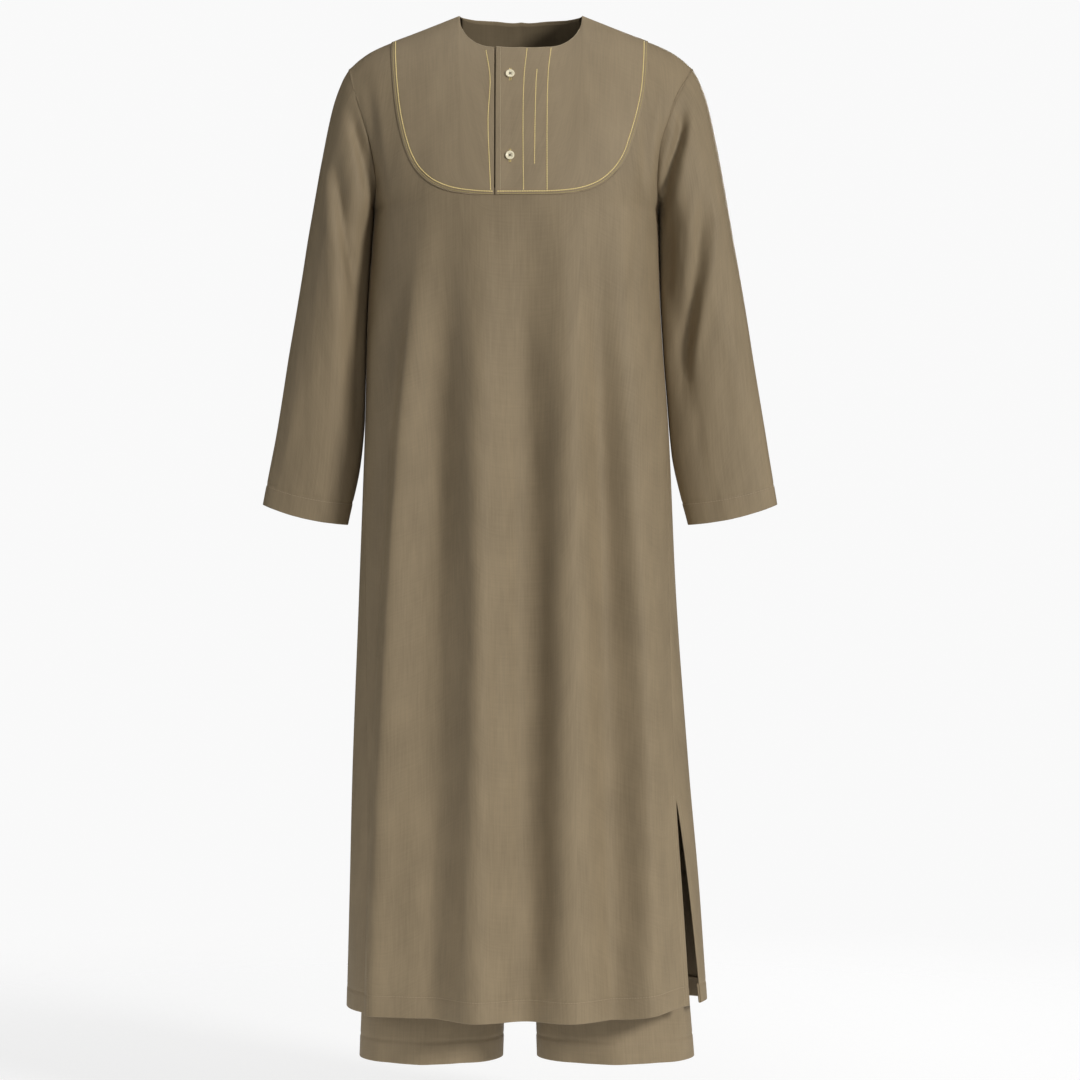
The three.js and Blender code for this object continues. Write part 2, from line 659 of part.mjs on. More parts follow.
// The two halves of the bib, from the front panel's own points moved out.
function bibEdgeAcross(side, t) {
  const overshoot = (q) => {
    const p = upperPoint(true, side * q, t);
    return side * p.x - read(bibOutline, "z", sideName(side), p.z);
  };
  return side * solve(overshoot, 0, 0, 1);
}
const bibEndZ = bibOutline.at(-1).z;
const bibEnd = tAtZ(bibEndZ);
const bibShares = [
  ...upperShares.filter((t) => t > openingEnd + nearby),
  openingEnd,
  ...between(openingEnd, bibEnd, 3),
  bibEnd,
];

function bibGrid(side, fixedXs) {
  const fixed = fixedXs.map(acrossAtX);
  const start = fixed.at(-1);
  const full = bibEdgeAcross(side, 1);
  const own = columns.front.filter(
    (q) => side * q > side * start + nearby && side * q < side * full - 2 * nearby,
  );
  if (side < 0) own.reverse();
  return bibShares.map((t) => {
    const cut = (full - bibEdgeAcross(side, t)) / (full - start);
    const power = Math.min(bibHold.power, bibHold.least / Math.max(cut, nearby));
    const squeezed = (share) => share - cut * share ** power;
    const qs = [...own, full].map((q) => start + (full - start) * squeezed((q - start) / (full - start)));
    return [...fixed, ...qs].map((q) => upperPoint(true, q, t));
  });
}

const lapColumns = [openingX + openingWidth / 2, foldedEdge, ...asideOf(buttonX, buttonhole.width)];
const bibLeft = bibGrid(1, lapColumns);
const bibHoleColumn = lapColumns.indexOf(asideOf(buttonX, buttonhole.width)[0]);
const bibHoleRows = [bibShares.indexOf(upperHoleTop), bibShares.indexOf(lowerHoleTop)];
const bibHeights = { above: layerGap + bibWall, below: layerGap };
addPiece("bib_left", "bib", wallGeometry(bibLeft, gridNormals(bibLeft), {
  ...bibHeights,
  isCut: (i, j) => j === bibHoleColumn && bibHoleRows.includes(i),
}));
const bibRight = bibGrid(-1, [openingX - openingWidth / 2]);
addPiece("bib_right", "bib", wallGeometry(bibRight, gridNormals(bibRight), bibHeights));

// The strip behind the opening, and the facing inside the back of the neck.
const underlapXs = [underlap.from, openingX, foldedEdge, buttonX, (buttonX + underlap.to) / 2, underlap.to];
const underlapRows = upperShares
  .filter((t) => t >= openingEnd)
  .map((t) => underlapXs.map((x) => upperPoint(true, acrossAtX(x), t)));
const behindCloth = { above: -clothWall - layerGap, below: -clothWall - layerGap - bibWall };
addPiece("placket_underlap", "bib", wallGeometry(underlapRows, gridNormals(underlapRows), behindCloth));

const facingFrom = columns.back.indexOf(neckAcross.right);
const facingTo = columns.back.indexOf(neckAcross.left) + 1;
const facingPart = (grid) => grid.slice(0, facingLastRow + 1).map((row) => row.slice(facingFrom, facingTo));
addPiece("neck_facing", "lining", wallGeometry(
  facingPart(body.back.rows),
  facingPart(body.back.normals),
  behindCloth,
));

// A four-hole button on the front, its thread shank reaching back to the underlap.
const wasm = await Module();
wasm.setup();

function solidOf(geometry) {
  geometry.deleteAttribute("normal");
  geometry.deleteAttribute("uv");
  const merged = mergeVertices(geometry, 1e-4);
  return new wasm.Manifold(new wasm.Mesh({
    numProp: 3,
    vertProperties: new Float32Array(merged.attributes.position.array),
    triVerts: new Uint32Array(merged.index.array),
  }));
}

function geometryOf(solid) {
  const mesh = solid.getMesh();
  const geometry = new THREE.BufferGeometry();
  geometry.setAttribute("position", new THREE.BufferAttribute(new Float32Array(mesh.vertProperties), 3));
  geometry.setIndex([...mesh.triVerts]);
  return geometry;
}

function buttonGeometry() {
  const { radius, thickness, rim, holeRadius, holeRing, shank } = button;
  const reach = gap + bibWall + layerGap + clothWall; // from the button's back down to the underlap
  const profile = [
    [0, -reach], [shank, -reach], [shank, 0], [radius - rim, 0], [radius, rim],
    [radius, thickness - rim], [radius - rim, thickness], [radius - 3 * rim, thickness],
    [radius - 4 * rim, thickness - rim], [0, thickness - rim],
  ];
  const outline = profile.map(([r, h]) => new THREE.Vector2(r, h));
  let solid = solidOf(new THREE.LatheGeometry(outline, buttonSides));
  for (let k = 0; k < 4; k += 1) {
    const drill = new THREE.CylinderGeometry(holeRadius, holeRadius, thickness, holeSides);
    const angle = (k + 0.5) * Math.PI / 2;
    drill.translate(holeRing * Math.cos(angle), thickness - rim, holeRing * Math.sin(angle));
    solid = solid.subtract(solidOf(drill));
  }
  return geometryOf(solid);
}

for (const [name, z] of Object.entries(buttonHeights)) {
  const t = tAtZ(z);
  const seat = upperPoint(true, buttonAcross, t);
  const along = upperPoint(true, buttonAcross, t + nearby).sub(seat);
  const across = upperPoint(true, buttonAcross + nearby, t).sub(seat);
  const outward = across.cross(along).normalize();
  const geometry = buttonGeometry();
  geometry.applyQuaternion(new THREE.Quaternion().setFromUnitVectors(point(0, 1, 0), outward));
  const stand = seat.addScaledVector(outward, layerGap + bibWall + gap);
  geometry.translate(stand.x, stand.y, stand.z);
  addPiece(`button_${name}`, "button", geometry);
}

// The trousers. Share runs from 0 at the outer seam to 1 at the inseam, or at the centre seam
// above the fork, where the legs' half ovals have turned into quarters of the hips.
function trouserPoint(side, isFront, share, z) {
  const name = sideName(side);
  const face = isFront ? "front" : "back";
  const forward = isFront ? -1 : 1;
  const outer = read(legSections, "z", name, z);
  const inner = read(legSections, "z", `${name}Inner`, z);
  const legX = (outer + inner) / 2 + (outer - inner) / 2 * Math.cos(Math.PI * share);
  const leg = point(side * legX, forward * read(legSections, "z", face, z) * Math.sin(Math.PI * share), z);
  const hipX = read(hipSections, "z", "side", z) * Math.cos(Math.PI / 2 * share);
  const hipY = forward * read(hipSections, "z", face, z) * Math.sin(Math.PI / 2 * share);
  const merged = clamp((z - crotchZ) / (forkTopZ - crotchZ), 0, 1) ** forkShape;
  return leg.lerp(point(side * hipX, hipY, z), merged);
}

const trouserTopZ = waistZ - waistbandHeight - gap;
const trouserHeights = [
  trouserTopZ, -540, forkTopZ, -650, -685, -710, -723, crotchZ,
  -770, -850, -960, -1090, -1240, trouserHemZ,
];
const trouserShares = Array.from({ length: trouserColumns }, (_, k) => k / (trouserColumns - 1));
const trouserPanels = [];
for (const side of [-1, 1]) {
  for (const isFront of [true, false]) {
    const rowAt = (z) => trouserShares.map((share) => trouserPoint(side, isFront, share, z));
    const rows = trouserHeights.map(rowAt);
    trouserPanels.push({ side, isFront, rows, normals: gridNormals(rows, { fromAxis: false }) });
  }
}
const crotchRow = trouserHeights.indexOf(crotchZ);
const panelOf = (side, isFront) => trouserPanels.find((p) => p.side === side && p.isFront === isFront);
trouserHeights.forEach((_, i) => {
  for (const side of [-1, 1]) {
    const [ahead, behind] = [panelOf(side, true), panelOf(side, false)];
    shareNormal([ahead.normals[i][0], behind.normals[i][0]]);
    if (i >= crotchRow) shareNormal([ahead.normals[i].at(-1), behind.normals[i].at(-1)]);
  }
  if (i < crotchRow) {
    shareNormal([panelOf(-1, true).normals[i].at(-1), panelOf(1, true).normals[i].at(-1)]);
    shareNormal([panelOf(-1, false).normals[i].at(-1), panelOf(1, false).normals[i].at(-1)]);
  }
});
for (const { side, isFront, rows, normals } of trouserPanels) {
  rows.forEach((row) => {
    drawBack(row[0], row[1]);
    drawBack(row.at(-1), row.at(-2));
  });
  const name = `trouser_${isFront ? "front" : "back"}_${sideName(side)}`;
  addPiece(name, "cloth", wallGeometry(rows, normals, panelHeights));
}

const waistShares = Array.from({ length: waistStations }, (_, k) => k / waistStations);
const waistRows = [waistZ, waistZ - waistbandHeight].map((z) =>
  waistShares.map((share) => {
    const turn = 2 * Math.PI * share;
    const deep = read(hipSections, "z", Math.cos(turn) > 0 ? "front" : "back", z);
    return point(read(hipSections, "z", "side", z) * Math.sin(turn), -deep * Math.cos(turn), z);
  }),
);
addPiece("waistband", "cloth", wallGeometry(waistRows, gridNormals(waistRows, { isRing: true }), {
  above: 0,
  below: -waistbandWall,
  isRing: true,
}));

export default set;
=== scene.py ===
# A thobe and the trousers worn under it, standing hollow, for Blender 4.5.
# Tables and points are in millimetres and +Z is up; meshes are made in metres. The front faces
# -Y, the wearer's left is +X, and the origin is midway between the two neck points.

import math
import bpy
import numpy as np
from mathutils import Matrix, Vector


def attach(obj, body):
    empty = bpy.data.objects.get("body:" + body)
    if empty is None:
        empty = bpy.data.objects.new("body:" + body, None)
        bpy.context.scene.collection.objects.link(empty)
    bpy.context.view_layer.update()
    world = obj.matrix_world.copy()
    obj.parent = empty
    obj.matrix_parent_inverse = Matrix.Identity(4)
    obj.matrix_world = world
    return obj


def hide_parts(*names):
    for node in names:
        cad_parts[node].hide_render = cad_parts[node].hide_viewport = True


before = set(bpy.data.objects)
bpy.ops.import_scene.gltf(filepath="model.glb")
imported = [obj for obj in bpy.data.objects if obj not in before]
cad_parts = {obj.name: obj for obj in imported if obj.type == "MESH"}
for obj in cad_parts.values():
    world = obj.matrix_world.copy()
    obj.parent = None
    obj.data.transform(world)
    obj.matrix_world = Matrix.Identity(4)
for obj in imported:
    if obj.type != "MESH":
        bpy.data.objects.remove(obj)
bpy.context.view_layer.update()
metre = 0.001

# Small helpers

def unit(v):
    return v / np.maximum(np.linalg.norm(v, axis=-1, keepdims=True), 1e-9)


def ramp(x, low, high):
    s = np.clip((x - low) / (high - low), 0, 1)
    return s * s * (3 - 2 * s)


def stack(x, y, z):
    return np.stack(np.broadcast_arrays(x, y, z), axis=-1).astype(float)


# A smooth curve through (places, values), cubic between them, level with its ends beyond them.
def curve(places, values, at):
    x, y = np.asarray(places, float), np.asarray(values, float)
    if x[0] > x[-1]:
        x, y = x[::-1], y[::-1]
    k = np.arange(len(x))
    before, after = np.maximum(k - 1, 0), np.minimum(k + 1, len(x) - 1)
    slope = (y[after] - y[before]) / (x[after] - x[before])
    at = np.clip(at, x[0], x[-1])
    k = np.clip(np.searchsorted(x, at, side="right") - 1, 0, len(x) - 2)
    span = x[k + 1] - x[k]
    s = (at - x[k]) / span
    here = (1 + 2 * s) * (1 - s) ** 2 * y[k] + s * (1 - s) ** 2 * span * slope[k]
    return here + s ** 2 * (3 - 2 * s) * y[k + 1] + s ** 2 * (s - 1) * span * slope[k + 1]


# Where a rising function passes each target, by halving.
def solve(rising, target, low, high):
    low = np.full(np.shape(target), float(low))
    high = np.full(np.shape(target), float(high))
    for _ in range(40):
        middle = (low + high) / 2
        below = rising(middle) < target
        low, high = np.where(below, middle, low), np.where(below, high, middle)
    return (low + high) / 2


# Soft unevenness between -1 and 1 from a few crossed sines; the seed shifts it.
def drift(u, v, seed):
    return (np.sin(u * 1.00 + v * 0.31 + seed) * np.sin(v * 0.83 - u * 0.27 + 2.1 * seed)
            + 0.6 * np.sin(u * 2.17 - v * 0.61 + 1.7 * seed) * np.sin(v * 1.71 + 0.9 * seed)
            + 0.4 * np.sin(u * 3.90 + v * 1.13 + 0.6 * seed)) / 2


# The body of the thobe

thobe = {
    "armpit": -262, "hem": -1325, "slitTop": -1044,
    "slitOpen": 7,            # degrees the left slit stands open at the hem
    "slitShape": 0.65,
    "squareness": 2.3,        # of the sections, 2 is an ellipse
    "neckHalf": 82, "neckDepth": 65,
    "neckPower": {"front": 2.6, "back": 2.0},
    "peakPower": 9,           # how close to the top the peak at the neck corner stays
    "columnPull": (0.42, 0.27), "columnTilt": 0.3,
    "hemFold": 27,
    "hemLift": (12, 3), "hemLiftFrom": 0.6,
    "quarterGirth": 240,
    "cloth": 0.7,             # thickness
    "foldStart": -245, "foldFull": -640, "foldGrowth": 0.7, "foldGain": 1.45,
    "foldless": (0.05, 0.45),  # cosines of the turn, no folds at the side seams
}
sectionZ = [-262, -400, -560, -780, -1000, -1160, -1325]
reach = {
    "right": [196, 205, 209, 217, 225, 229, 233],
    "left": [184, 187, 198, 208, 224, 238, 249],
    "front": [122, 126, 127, 133, 142, 148, 154],
    "back": [116, 115, 118, 128, 138, 144, 150],
}
seamZ = [-262, -560, -860, -1044, -1325]
seamTurn = {"right": [90, 82, 73, 68, 64], "left": [90, 80, 73, 70, 70]}
neckCrest = {"x": [0, 30, 50, 68, 82], "front": [-1, -3, -7, -9, 0], "back": [59, 52, 40, 24, 0]}
# The crest without the corners at the neck, for all but the top of each column.
roundedCrest = {"x": [0, 30, 50, 68, 82, 100, 121, 149, 176, 200, 216, 229],
                "front": [-1, -3, -7, -9, -10, -12, -17, -27, -37, -48, -59, -71],
                "back": [59, 52, 40, 23, 9, -3, -14, -26.5, -37, -48, -59, -71]}
shoulderLine = ([82, 121, 149, 176, 200, 216, 229], [0, -16, -27, -37, -48, -59, -71])
armholeZ = [-262, -236, -188, -145, -110, -71]
armholeX = {"right": [196, 191, 197, 208, 219, 229], "left": [184, 179.5, 182, 195, 209, 229]}
armholeDepth = {"front": -60, "back": 62}

# The long folds: x at z = -327, -700 and -1325, half width, rise. Below 0 is a trough.
foldZ = [-327, -700, -1325]
longFolds = {
    "front": [
        (-127, -160, -188, 19, 10), (-97, -110, -118, 27, -10), (-60, -53, -56, 27, 10),
        (8, 6, 6, 27, -11), (62, 64, 66, 27, 10), (100, 112, 126, 24, -10), (133, 150, 170, 25, 8),
    ],
    "back": [
        (-118, -140, -158, 27, 9), (-74, -88, -96, 25, -9), (-22, -30, -34, 29, 9),
        (30, 28, 24, 27, -11), (84, 86, 92, 29, 10), (126, 140, 156, 25, -7),
    ],
}
# Finer creases: x and z of their path from top to bottom, widths to the -X and +X side, rise,
# and how much of the length each end takes to fade.
fineCreases = {
    "front": [
        ((-130, -144, -156, -168, -182, -194), (-300, -440, -640, -860, -1120, -1322),
         (5, 14), 5.2, (0.25, 0)),
        ((-144, -160, -176, -190, -202, -212), (-300, -440, -640, -860, -1120, -1322),
         (12, 7), -4.6, (0.3, 0)),
        ((-84, -84, -78, -82, -98), (-200, -500, -780, -1000, -1322), (20, 13), -3.6, (0.8, 0.1)),
        ((-60, -60, -54, -58, -74), (-200, -500, -780, -1000, -1322), (12, 20), 2.2, (0.8, 0.1)),
        ((-36, -32, -30, -34), (-330, -560, -900, -1322), (10, 12), -1.4, (0.3, 0.1)),
        ((27, 32, 29, 29), (-200, -500, -800, -1322), (20, 11), -5.3, (0.75, 0.1)),
        ((50, 56, 53, 53), (-200, -500, -800, -1322), (11, 18), 3.2, (0.75, 0.1)),
        ((82, 84, 88), (-380, -700, -1322), (12, 10), 1.3, (0.4, 0.15)),
        ((86, 104, 119, 137, 143, 144), (-210, -440, -650, -910, -1169, -1322),
         (18, 12), -4.6, (0.75, 0.15)),
        ((110, 128, 144, 161, 168, 170), (-210, -440, -650, -910, -1169, -1322),
         (12, 18), 3.8, (0.75, 0.15)),
        ((-24, -14, -16), (-520, -800, -1200), (13, 11), 1.3, (0.4, 0.4)),
        ((-120, -128, -136), (-560, -800, -1100), (11, 9), -1.2, (0.4, 0.4)),
        ((176, 182, 186, 190), (-420, -600, -820, -1000), (10, 12), 1.6, (0.4, 0.4)),
        ((-196, -194, -198), (-330, -480, -640), (8, 10), 1.8, (0.4, 0.4)),
        ((-203, -198, -190, -178), (-80, -140, -200, -290), (7, 9), -3.4, (0.3, 0.5)),
        ((-189, -184, -178, -166), (-96, -150, -215, -330), (9, 8), 2.4, (0.3, 0.5)),
        ((190, 178, 173, 164), (-80, -150, -220, -330), (8, 7), 2.8, (0.3, 0.5)),
        ((176, 168, 164, 158), (-110, -160, -220, -320), (8, 8), -3.2, (0.3, 0.5)),
        ((156, 150, 140), (-240, -330, -470), (9, 10), -2.2, (0.4, 0.5)),
        ((-10, -11, -12), (-118, -150, -182), (4, 4), -0.35, (0.4, 0.4)),
        ((70, 66, 60), (-60, -110, -180), (14, 14), -0.7, (0.4, 0.4)),
        ((-92, -96, -104), (-50, -110, -190), (14, 13), -0.7, (0.4, 0.4)),
    ],
    "back": [
        ((-104, -122, -136, -150), (-330, -620, -960, -1322), (6, 13), 2.4, (0.3, 0)),
        ((-60, -72, -80, -84), (-300, -560, -900, -1322), (10, 12), -2.2, (0.35, 0.1)),
        ((-8, -14, -18), (-420, -760, -1322), (11, 14), 1.6, (0.4, 0.1)),
        ((46, 44, 40), (-340, -700, -1240), (12, 9), -2.0, (0.35, 0.3)),
        ((98, 104, 110, 114), (-300, -600, -940, -1322), (13, 7), 2.2, (0.35, 0)),
        ((150, 158, 166), (-380, -640, -1000), (10, 11), -1.6, (0.4, 0.4)),
        ((-164, -172, -178), (-460, -740, -1100), (11, 9), 1.5, (0.4, 0.3)),
        ((-186, -178, -168), (-110, -190, -330), (9, 9), -2.2, (0.35, 0.5)),
        ((182, 172, 158), (-120, -200, -350), (9, 9), -2.2, (0.35, 0.5)),
        ((-44, -30, -22), (-70, -170, -330), (18, 16), -1.2, (0.4, 0.5)),
        ((60, 54, 50), (-80, -190, -310), (16, 18), 1.0, (0.4, 0.5)),
    ],
}


fineSeed = {"front": 1.3, "back": 4.1}
hemSeed = {"front": 1.0, "back": 3.0}


def either(test, heights, one, other, z):
    return np.where(test, curve(heights, one, z), curve(heights, other, z))


def sideReach(x, z):
    return either(x < 0, sectionZ, reach["right"], reach["left"], z)


# Section of the body: a superellipse, r = (|sin/a|^n + |cos/b|^n)^(-1/n), turn 0 at the front.
def sectionPoint(z, turn):
    aside, ahead = np.sin(turn), np.cos(turn)
    deep = either(ahead > 0, sectionZ, reach["front"], reach["back"], z)
    n = thobe["squareness"]
    r = ((np.abs(aside) / sideReach(aside, z)) ** n + (np.abs(ahead) / deep) ** n) ** (-1 / n)
    return stack(r * aside, -r * ahead, z)


# 0 at the side seams, 1 where the cloth faces forward or back.
def facingShare(turn):
    return ramp(np.abs(np.cos(turn)), *thobe["foldless"])


# Sum of creases at places (x, z): rise exp(-(d / width)^2), d across from the crease's path.
def creaseHeight(x, z, creases):
    total = np.zeros(np.broadcast(x, z).shape)
    for pathX, pathZ, widths, rise, (first, last) in creases:
        d = x - curve(pathZ, pathX, z)
        down = (pathZ[0] - z) / (pathZ[0] - pathZ[-1])
        ends = ramp(down, 0, first)
        if last > 0:
            ends = ends * (1 - ramp(down, 1 - last, 1))
        total += rise * np.exp(-(d / np.where(d < 0, *widths)) ** 2) * ends
    return total


def foldHeight(face, x, z):
    growth = ramp(-z, -thobe["foldStart"], -thobe["foldFull"]) ** thobe["foldGrowth"]
    total = np.zeros(np.broadcast(x, z).shape)
    for top, middle, hem, width, rise in longFolds[face]:
        total += rise * np.exp(-(((x - curve(foldZ, [top, middle, hem], z)) / width) ** 2))
    return total * (thobe["foldGain"] * growth)


# Everything finer than the long folds, for the cloth and what lies on it.
def fineHeight(face, x, z):
    seed = fineSeed[face]
    lower = ramp(-z, 230, 520)
    soft = drift(x / 21, z / 120, seed) * (0.35 + 0.75 * lower)
    return creaseHeight(x, z, fineCreases[face]) + (soft + 0.22 * drift(x / 8.5, z / 52, seed + 2))


# Relief near a hem, above it by s: a groove along the stitches at the fold's depth, and small
# puckers across it. The cloth below the stitches is double, so it stands a little prouder.
def hemRelief(s, depth, across, seed):
    puckers = np.sin(across / 1.9 + 1.5 * np.sin(across / 13 + seed))
    puckers = puckers * (0.5 + 0.5 * np.sin(across / 31 + 2 * seed))
    wave = 0.22 * puckers * np.exp(-((s - depth) / 9) ** 2)
    groove = 0.45 * np.exp(-((s - depth) / 2.2) ** 2)
    return wave - groove + 0.3 * (1 - ramp(s, depth - 4, depth))


def belowArmpit(face, across, z):
    seamAngle = np.radians(either(across < 0, seamZ, seamTurn["right"], seamTurn["left"], z))
    below = np.clip((thobe["slitTop"] - z) / (thobe["slitTop"] - thobe["hem"]), 0, 1)
    opened = np.where(across > 0, np.radians(thobe["slitOpen"]) * below ** thobe["slitShape"], 0)
    if face == "front":
        turn = across * seamAngle
    else:
        side = np.where(across < 0, -1, 1)
        turn = side * (np.pi - np.abs(across) * (np.pi - seamAngle - opened))
    base = sectionPoint(z, turn)
    along = sectionPoint(z, turn + 0.01) - sectionPoint(z, turn - 0.01)
    outward = unit(stack(along[..., 1], -along[..., 0], np.zeros_like(turn)))
    outward *= np.sign((outward[..., :2] * base[..., :2]).sum(-1, keepdims=True))
    facing = facingShare(turn)
    calm = (0.25 + 0.75 * facing) * (1 - np.abs(across) ** 10)
    height = foldHeight(face, base[..., 0], z) * facing
    height += fineHeight(face, base[..., 0], z) * calm
    around = across * thobe["quarterGirth"]
    height += hemRelief(z - thobe["hem"], thobe["hemFold"], around, hemSeed[face])
    base += outward * height[..., None]
    left, right = thobe["hemLift"]
    base[..., 2] += np.where(across > 0, left * ramp(across, thobe["hemLiftFrom"], 1) * below ** 2,
                             right * across ** 2 * below)
    return base


def crestPoint(face, across):
    chestX = sectionPoint(thobe["armpit"], across * np.pi / 2)[..., 0]
    full = sideReach(across, np.full(np.shape(across), float(thobe["armpit"])))
    x = np.abs(chestX) * (1 + (shoulderLine[0][-1] / full - 1) * (chestX / full) ** 2)
    inside = curve(neckCrest["x"], neckCrest[face], x)
    z = np.where(x < thobe["neckHalf"], inside, curve(*shoulderLine, x))
    return stack(np.where(across < 0, -x, x), np.zeros_like(x), z)


# A column from the chest to the crest: a cubic Bezier that starts upright and rolls over.
def columnPoint(face, across, t):
    across, t = np.broadcast_arrays(across, t)
    isFront = face == "front"
    turn = across * np.pi / 2 if isFront else np.pi - across * np.pi / 2
    start = sectionPoint(np.full(across.shape, float(thobe["armpit"])), turn)
    end = crestPoint(face, across)
    peak = end[..., 2] - curve(roundedCrest["x"], roundedCrest[face], np.abs(end[..., 0]))
    end[..., 2] -= peak * (1 - t ** thobe["peakPower"])
    arrive = unit(np.array([0, 1 if isFront else -1, thobe["columnTilt"]]))
    length = np.linalg.norm(end - start, axis=-1, keepdims=True)
    leave, reached = thobe["columnPull"]
    p1 = start + length * leave * np.array([0, 0, 1])
    p2 = end - length * reached * arrive
    t = t[..., None]
    return ((1 - t) ** 3 * start + 3 * (1 - t) ** 2 * t * p1
            + 3 * (1 - t) * t ** 2 * p2 + t ** 3 * end)


# How much of each column is left by the neck hole.
def columnShare(face, across):
    power, half, deep = thobe["neckPower"][face], thobe["neckHalf"], thobe["neckDepth"]

    def outside(t):
        p = columnPoint(face, across, t)
        return -(np.abs(p[..., 0] / half) ** power + np.abs(p[..., 1] / deep) ** power)

    left = solve(outside, np.full(np.shape(across), -1.0), 0, 1)
    return np.where(np.abs(crestPoint(face, across)[..., 0]) >= half - 1e-6, 1.0, left)


def armholePoint(face, side, t):
    high, low = shoulderLine[1][-1], thobe["armpit"]
    z = (high + low) / 2 - (high - low) / 2 * np.cos(np.pi * t)
    x = curve(armholeZ, armholeX["left" if side > 0 else "right"], z)
    return stack(side * x, armholeDepth[face] * np.sin(np.pi * t), z)


def aboveArmpit(face, across, t, share=None):
    share = columnShare(face, across) if share is None else share
    p = columnPoint(face, across, t * share)
    for side in (-1, 1):
        bend = armholePoint(face, side, t) - columnPoint(face, np.full(np.shape(t), float(side)), t)
        weight = np.where(across * side > 0, np.abs(across) ** 3, 0)
        p = p + bend * weight[..., None]
    return p


# Place across the panel whose chest point, or crest point, lies at x.
def acrossAt(x, where="chest"):
    x = np.asarray(x, float)
    side = np.where(x < 0, -1, 1)
    chest = np.full(x.shape, float(thobe["armpit"]))

    def reached(q):
        onCrest = where == "crest"
        p = crestPoint("front", side * q) if onCrest else sectionPoint(chest, side * q * np.pi / 2)
        return np.abs(p[..., 0])

    return side * solve(reached, np.abs(x), 0, 1)


# Normals of a grid of points, the sums of the faces' around each point, facing as asked.
def gridNormals(p, ring=False, awayFrom=None):
    q = np.concatenate([p, p[:, :1]], axis=1) if ring else p
    face = np.cross(q[1:, 1:] - q[:-1, :-1], q[1:, :-1] - q[:-1, 1:])
    n = np.zeros_like(q)
    n[:-1, :-1] += face
    n[1:, :-1] += face
    n[:-1, 1:] += face
    n[1:, 1:] += face
    if ring:
        n[:, 0] += n[:, -1]
        n = n[:, :-1]
    n = unit(n)
    centre = p.mean(axis=1, keepdims=True) if awayFrom is None else stack(*awayFrom, p[..., 2])
    return n if ((p - centre) * n).sum() > 0 else -n


# Turns an edge of a grid under. The edge draws back by the radius r, rounds a half circle
# E + r (sin a T - (1 - cos a) N), and runs back behind the cloth as a lap, 2 r further in.
def turnUnder(p, n, edge, radius, lap, steps=5):
    swapped, last = edge in ("left", "right"), edge in ("bottom", "right")
    if swapped:
        p, n = p.swapaxes(0, 1), n.swapaxes(0, 1)
    if last:
        p, n = p[::-1], n[::-1]
    p = p.copy()
    tangent = unit(p[0] - p[1])
    p[0] -= radius * tangent
    a = np.linspace(0, np.pi, steps + 1)[1:, None, None]
    bend = p[0] + radius * (np.sin(a) * tangent - (1 - np.cos(a)) * n[0])
    far = np.cumsum(np.linalg.norm(np.diff(p, axis=0), axis=-1).mean(axis=1))
    count = 1 + max(int((far < lap).sum()), 1)
    behind = p[1:count] - 2 * radius * n[1:count]
    p = np.concatenate([behind[::-1], bend[::-1], p])
    n = np.concatenate([n[1:count][::-1], np.repeat(n[:1], steps, axis=0), n])
    if last:
        p, n = p[::-1], n[::-1]
    if swapped:
        p, n = p.swapaxes(0, 1), n.swapaxes(0, 1)
    return p, n


def drawBack(p, edge, distance):
    swapped, last = edge in ("left", "right"), edge in ("bottom", "right")
    q = p.swapaxes(0, 1) if swapped else p
    end, inner = (-1, -2) if last else (0, 1)
    q[end] -= distance * unit(q[end] - q[inner])


# A smooth mesh from points in mm, linked as an object.
def meshObject(name, points, faces, material, uv=None):
    mesh = bpy.data.meshes.new(name)
    mesh.from_pydata((points * metre).tolist(), [], faces)
    if uv is not None:
        layer = mesh.uv_layers.new(name="cloth")
        layer.data.foreach_set("uv", np.ascontiguousarray(uv, np.float32).ravel())
    mesh.polygons.foreach_set("use_smooth", np.ones(len(mesh.polygons), bool))
    mesh.materials.append(material)
    mesh.validate()
    obj = bpy.data.objects.new(name, mesh)
    bpy.context.scene.collection.objects.link(obj)
    return obj


# Grid points (rows, columns, 3) in mm as an object. Its UV map "cloth" holds lengths along the
# rows and columns in metres, so a weave keeps its scale. Cells where cut is True are left out.
def gridObject(name, p, outward, material, wall=0.0, ring=False, cut=None):
    rows, columns = p.shape[:2]
    cells = columns if ring else columns - 1
    i, j = np.meshgrid(np.arange(rows - 1), np.arange(cells), indexing="ij")
    right = (j + 1) % columns
    here, under = i * columns, (i + 1) * columns
    faces = np.stack([here + j, here + right, under + right, under + j], axis=-1)
    closed = np.concatenate([p, p[:, :1]], axis=1) if ring else p
    u = np.cumsum(np.linalg.norm(np.diff(closed, axis=1, prepend=closed[:, :1]), axis=-1), axis=1)
    u -= u[:, u.shape[1] // 2][:, None]
    v = np.cumsum(np.linalg.norm(np.diff(closed, axis=0, prepend=closed[:1]), axis=-1), axis=0)
    uv = np.stack([u, -v], axis=-1) * metre
    corners = np.stack([uv[i, j], uv[i, j + 1], uv[i + 1, j + 1], uv[i + 1, j]], axis=2)
    keep = np.ones((rows - 1, cells), bool) if cut is None else ~cut
    faces, corners = faces[keep], corners[keep]
    normal = np.cross(p[i + 1, right] - p[i, j], p[i + 1, j] - p[i, right])
    if (normal * outward[i, j]).sum() < 0:
        faces, corners = faces[:, ::-1], corners[:, ::-1]
    obj = meshObject(name, p.reshape(-1, 3), faces.tolist(), material, corners)
    if wall:
        shell = obj.modifiers.new("wall", "SOLIDIFY")
        shell.thickness = wall * metre
        shell.offset = -1
    return obj


# Materials

def link(tree, a, out, b, socket):
    tree.links.new(a.outputs[out], b.inputs[socket])


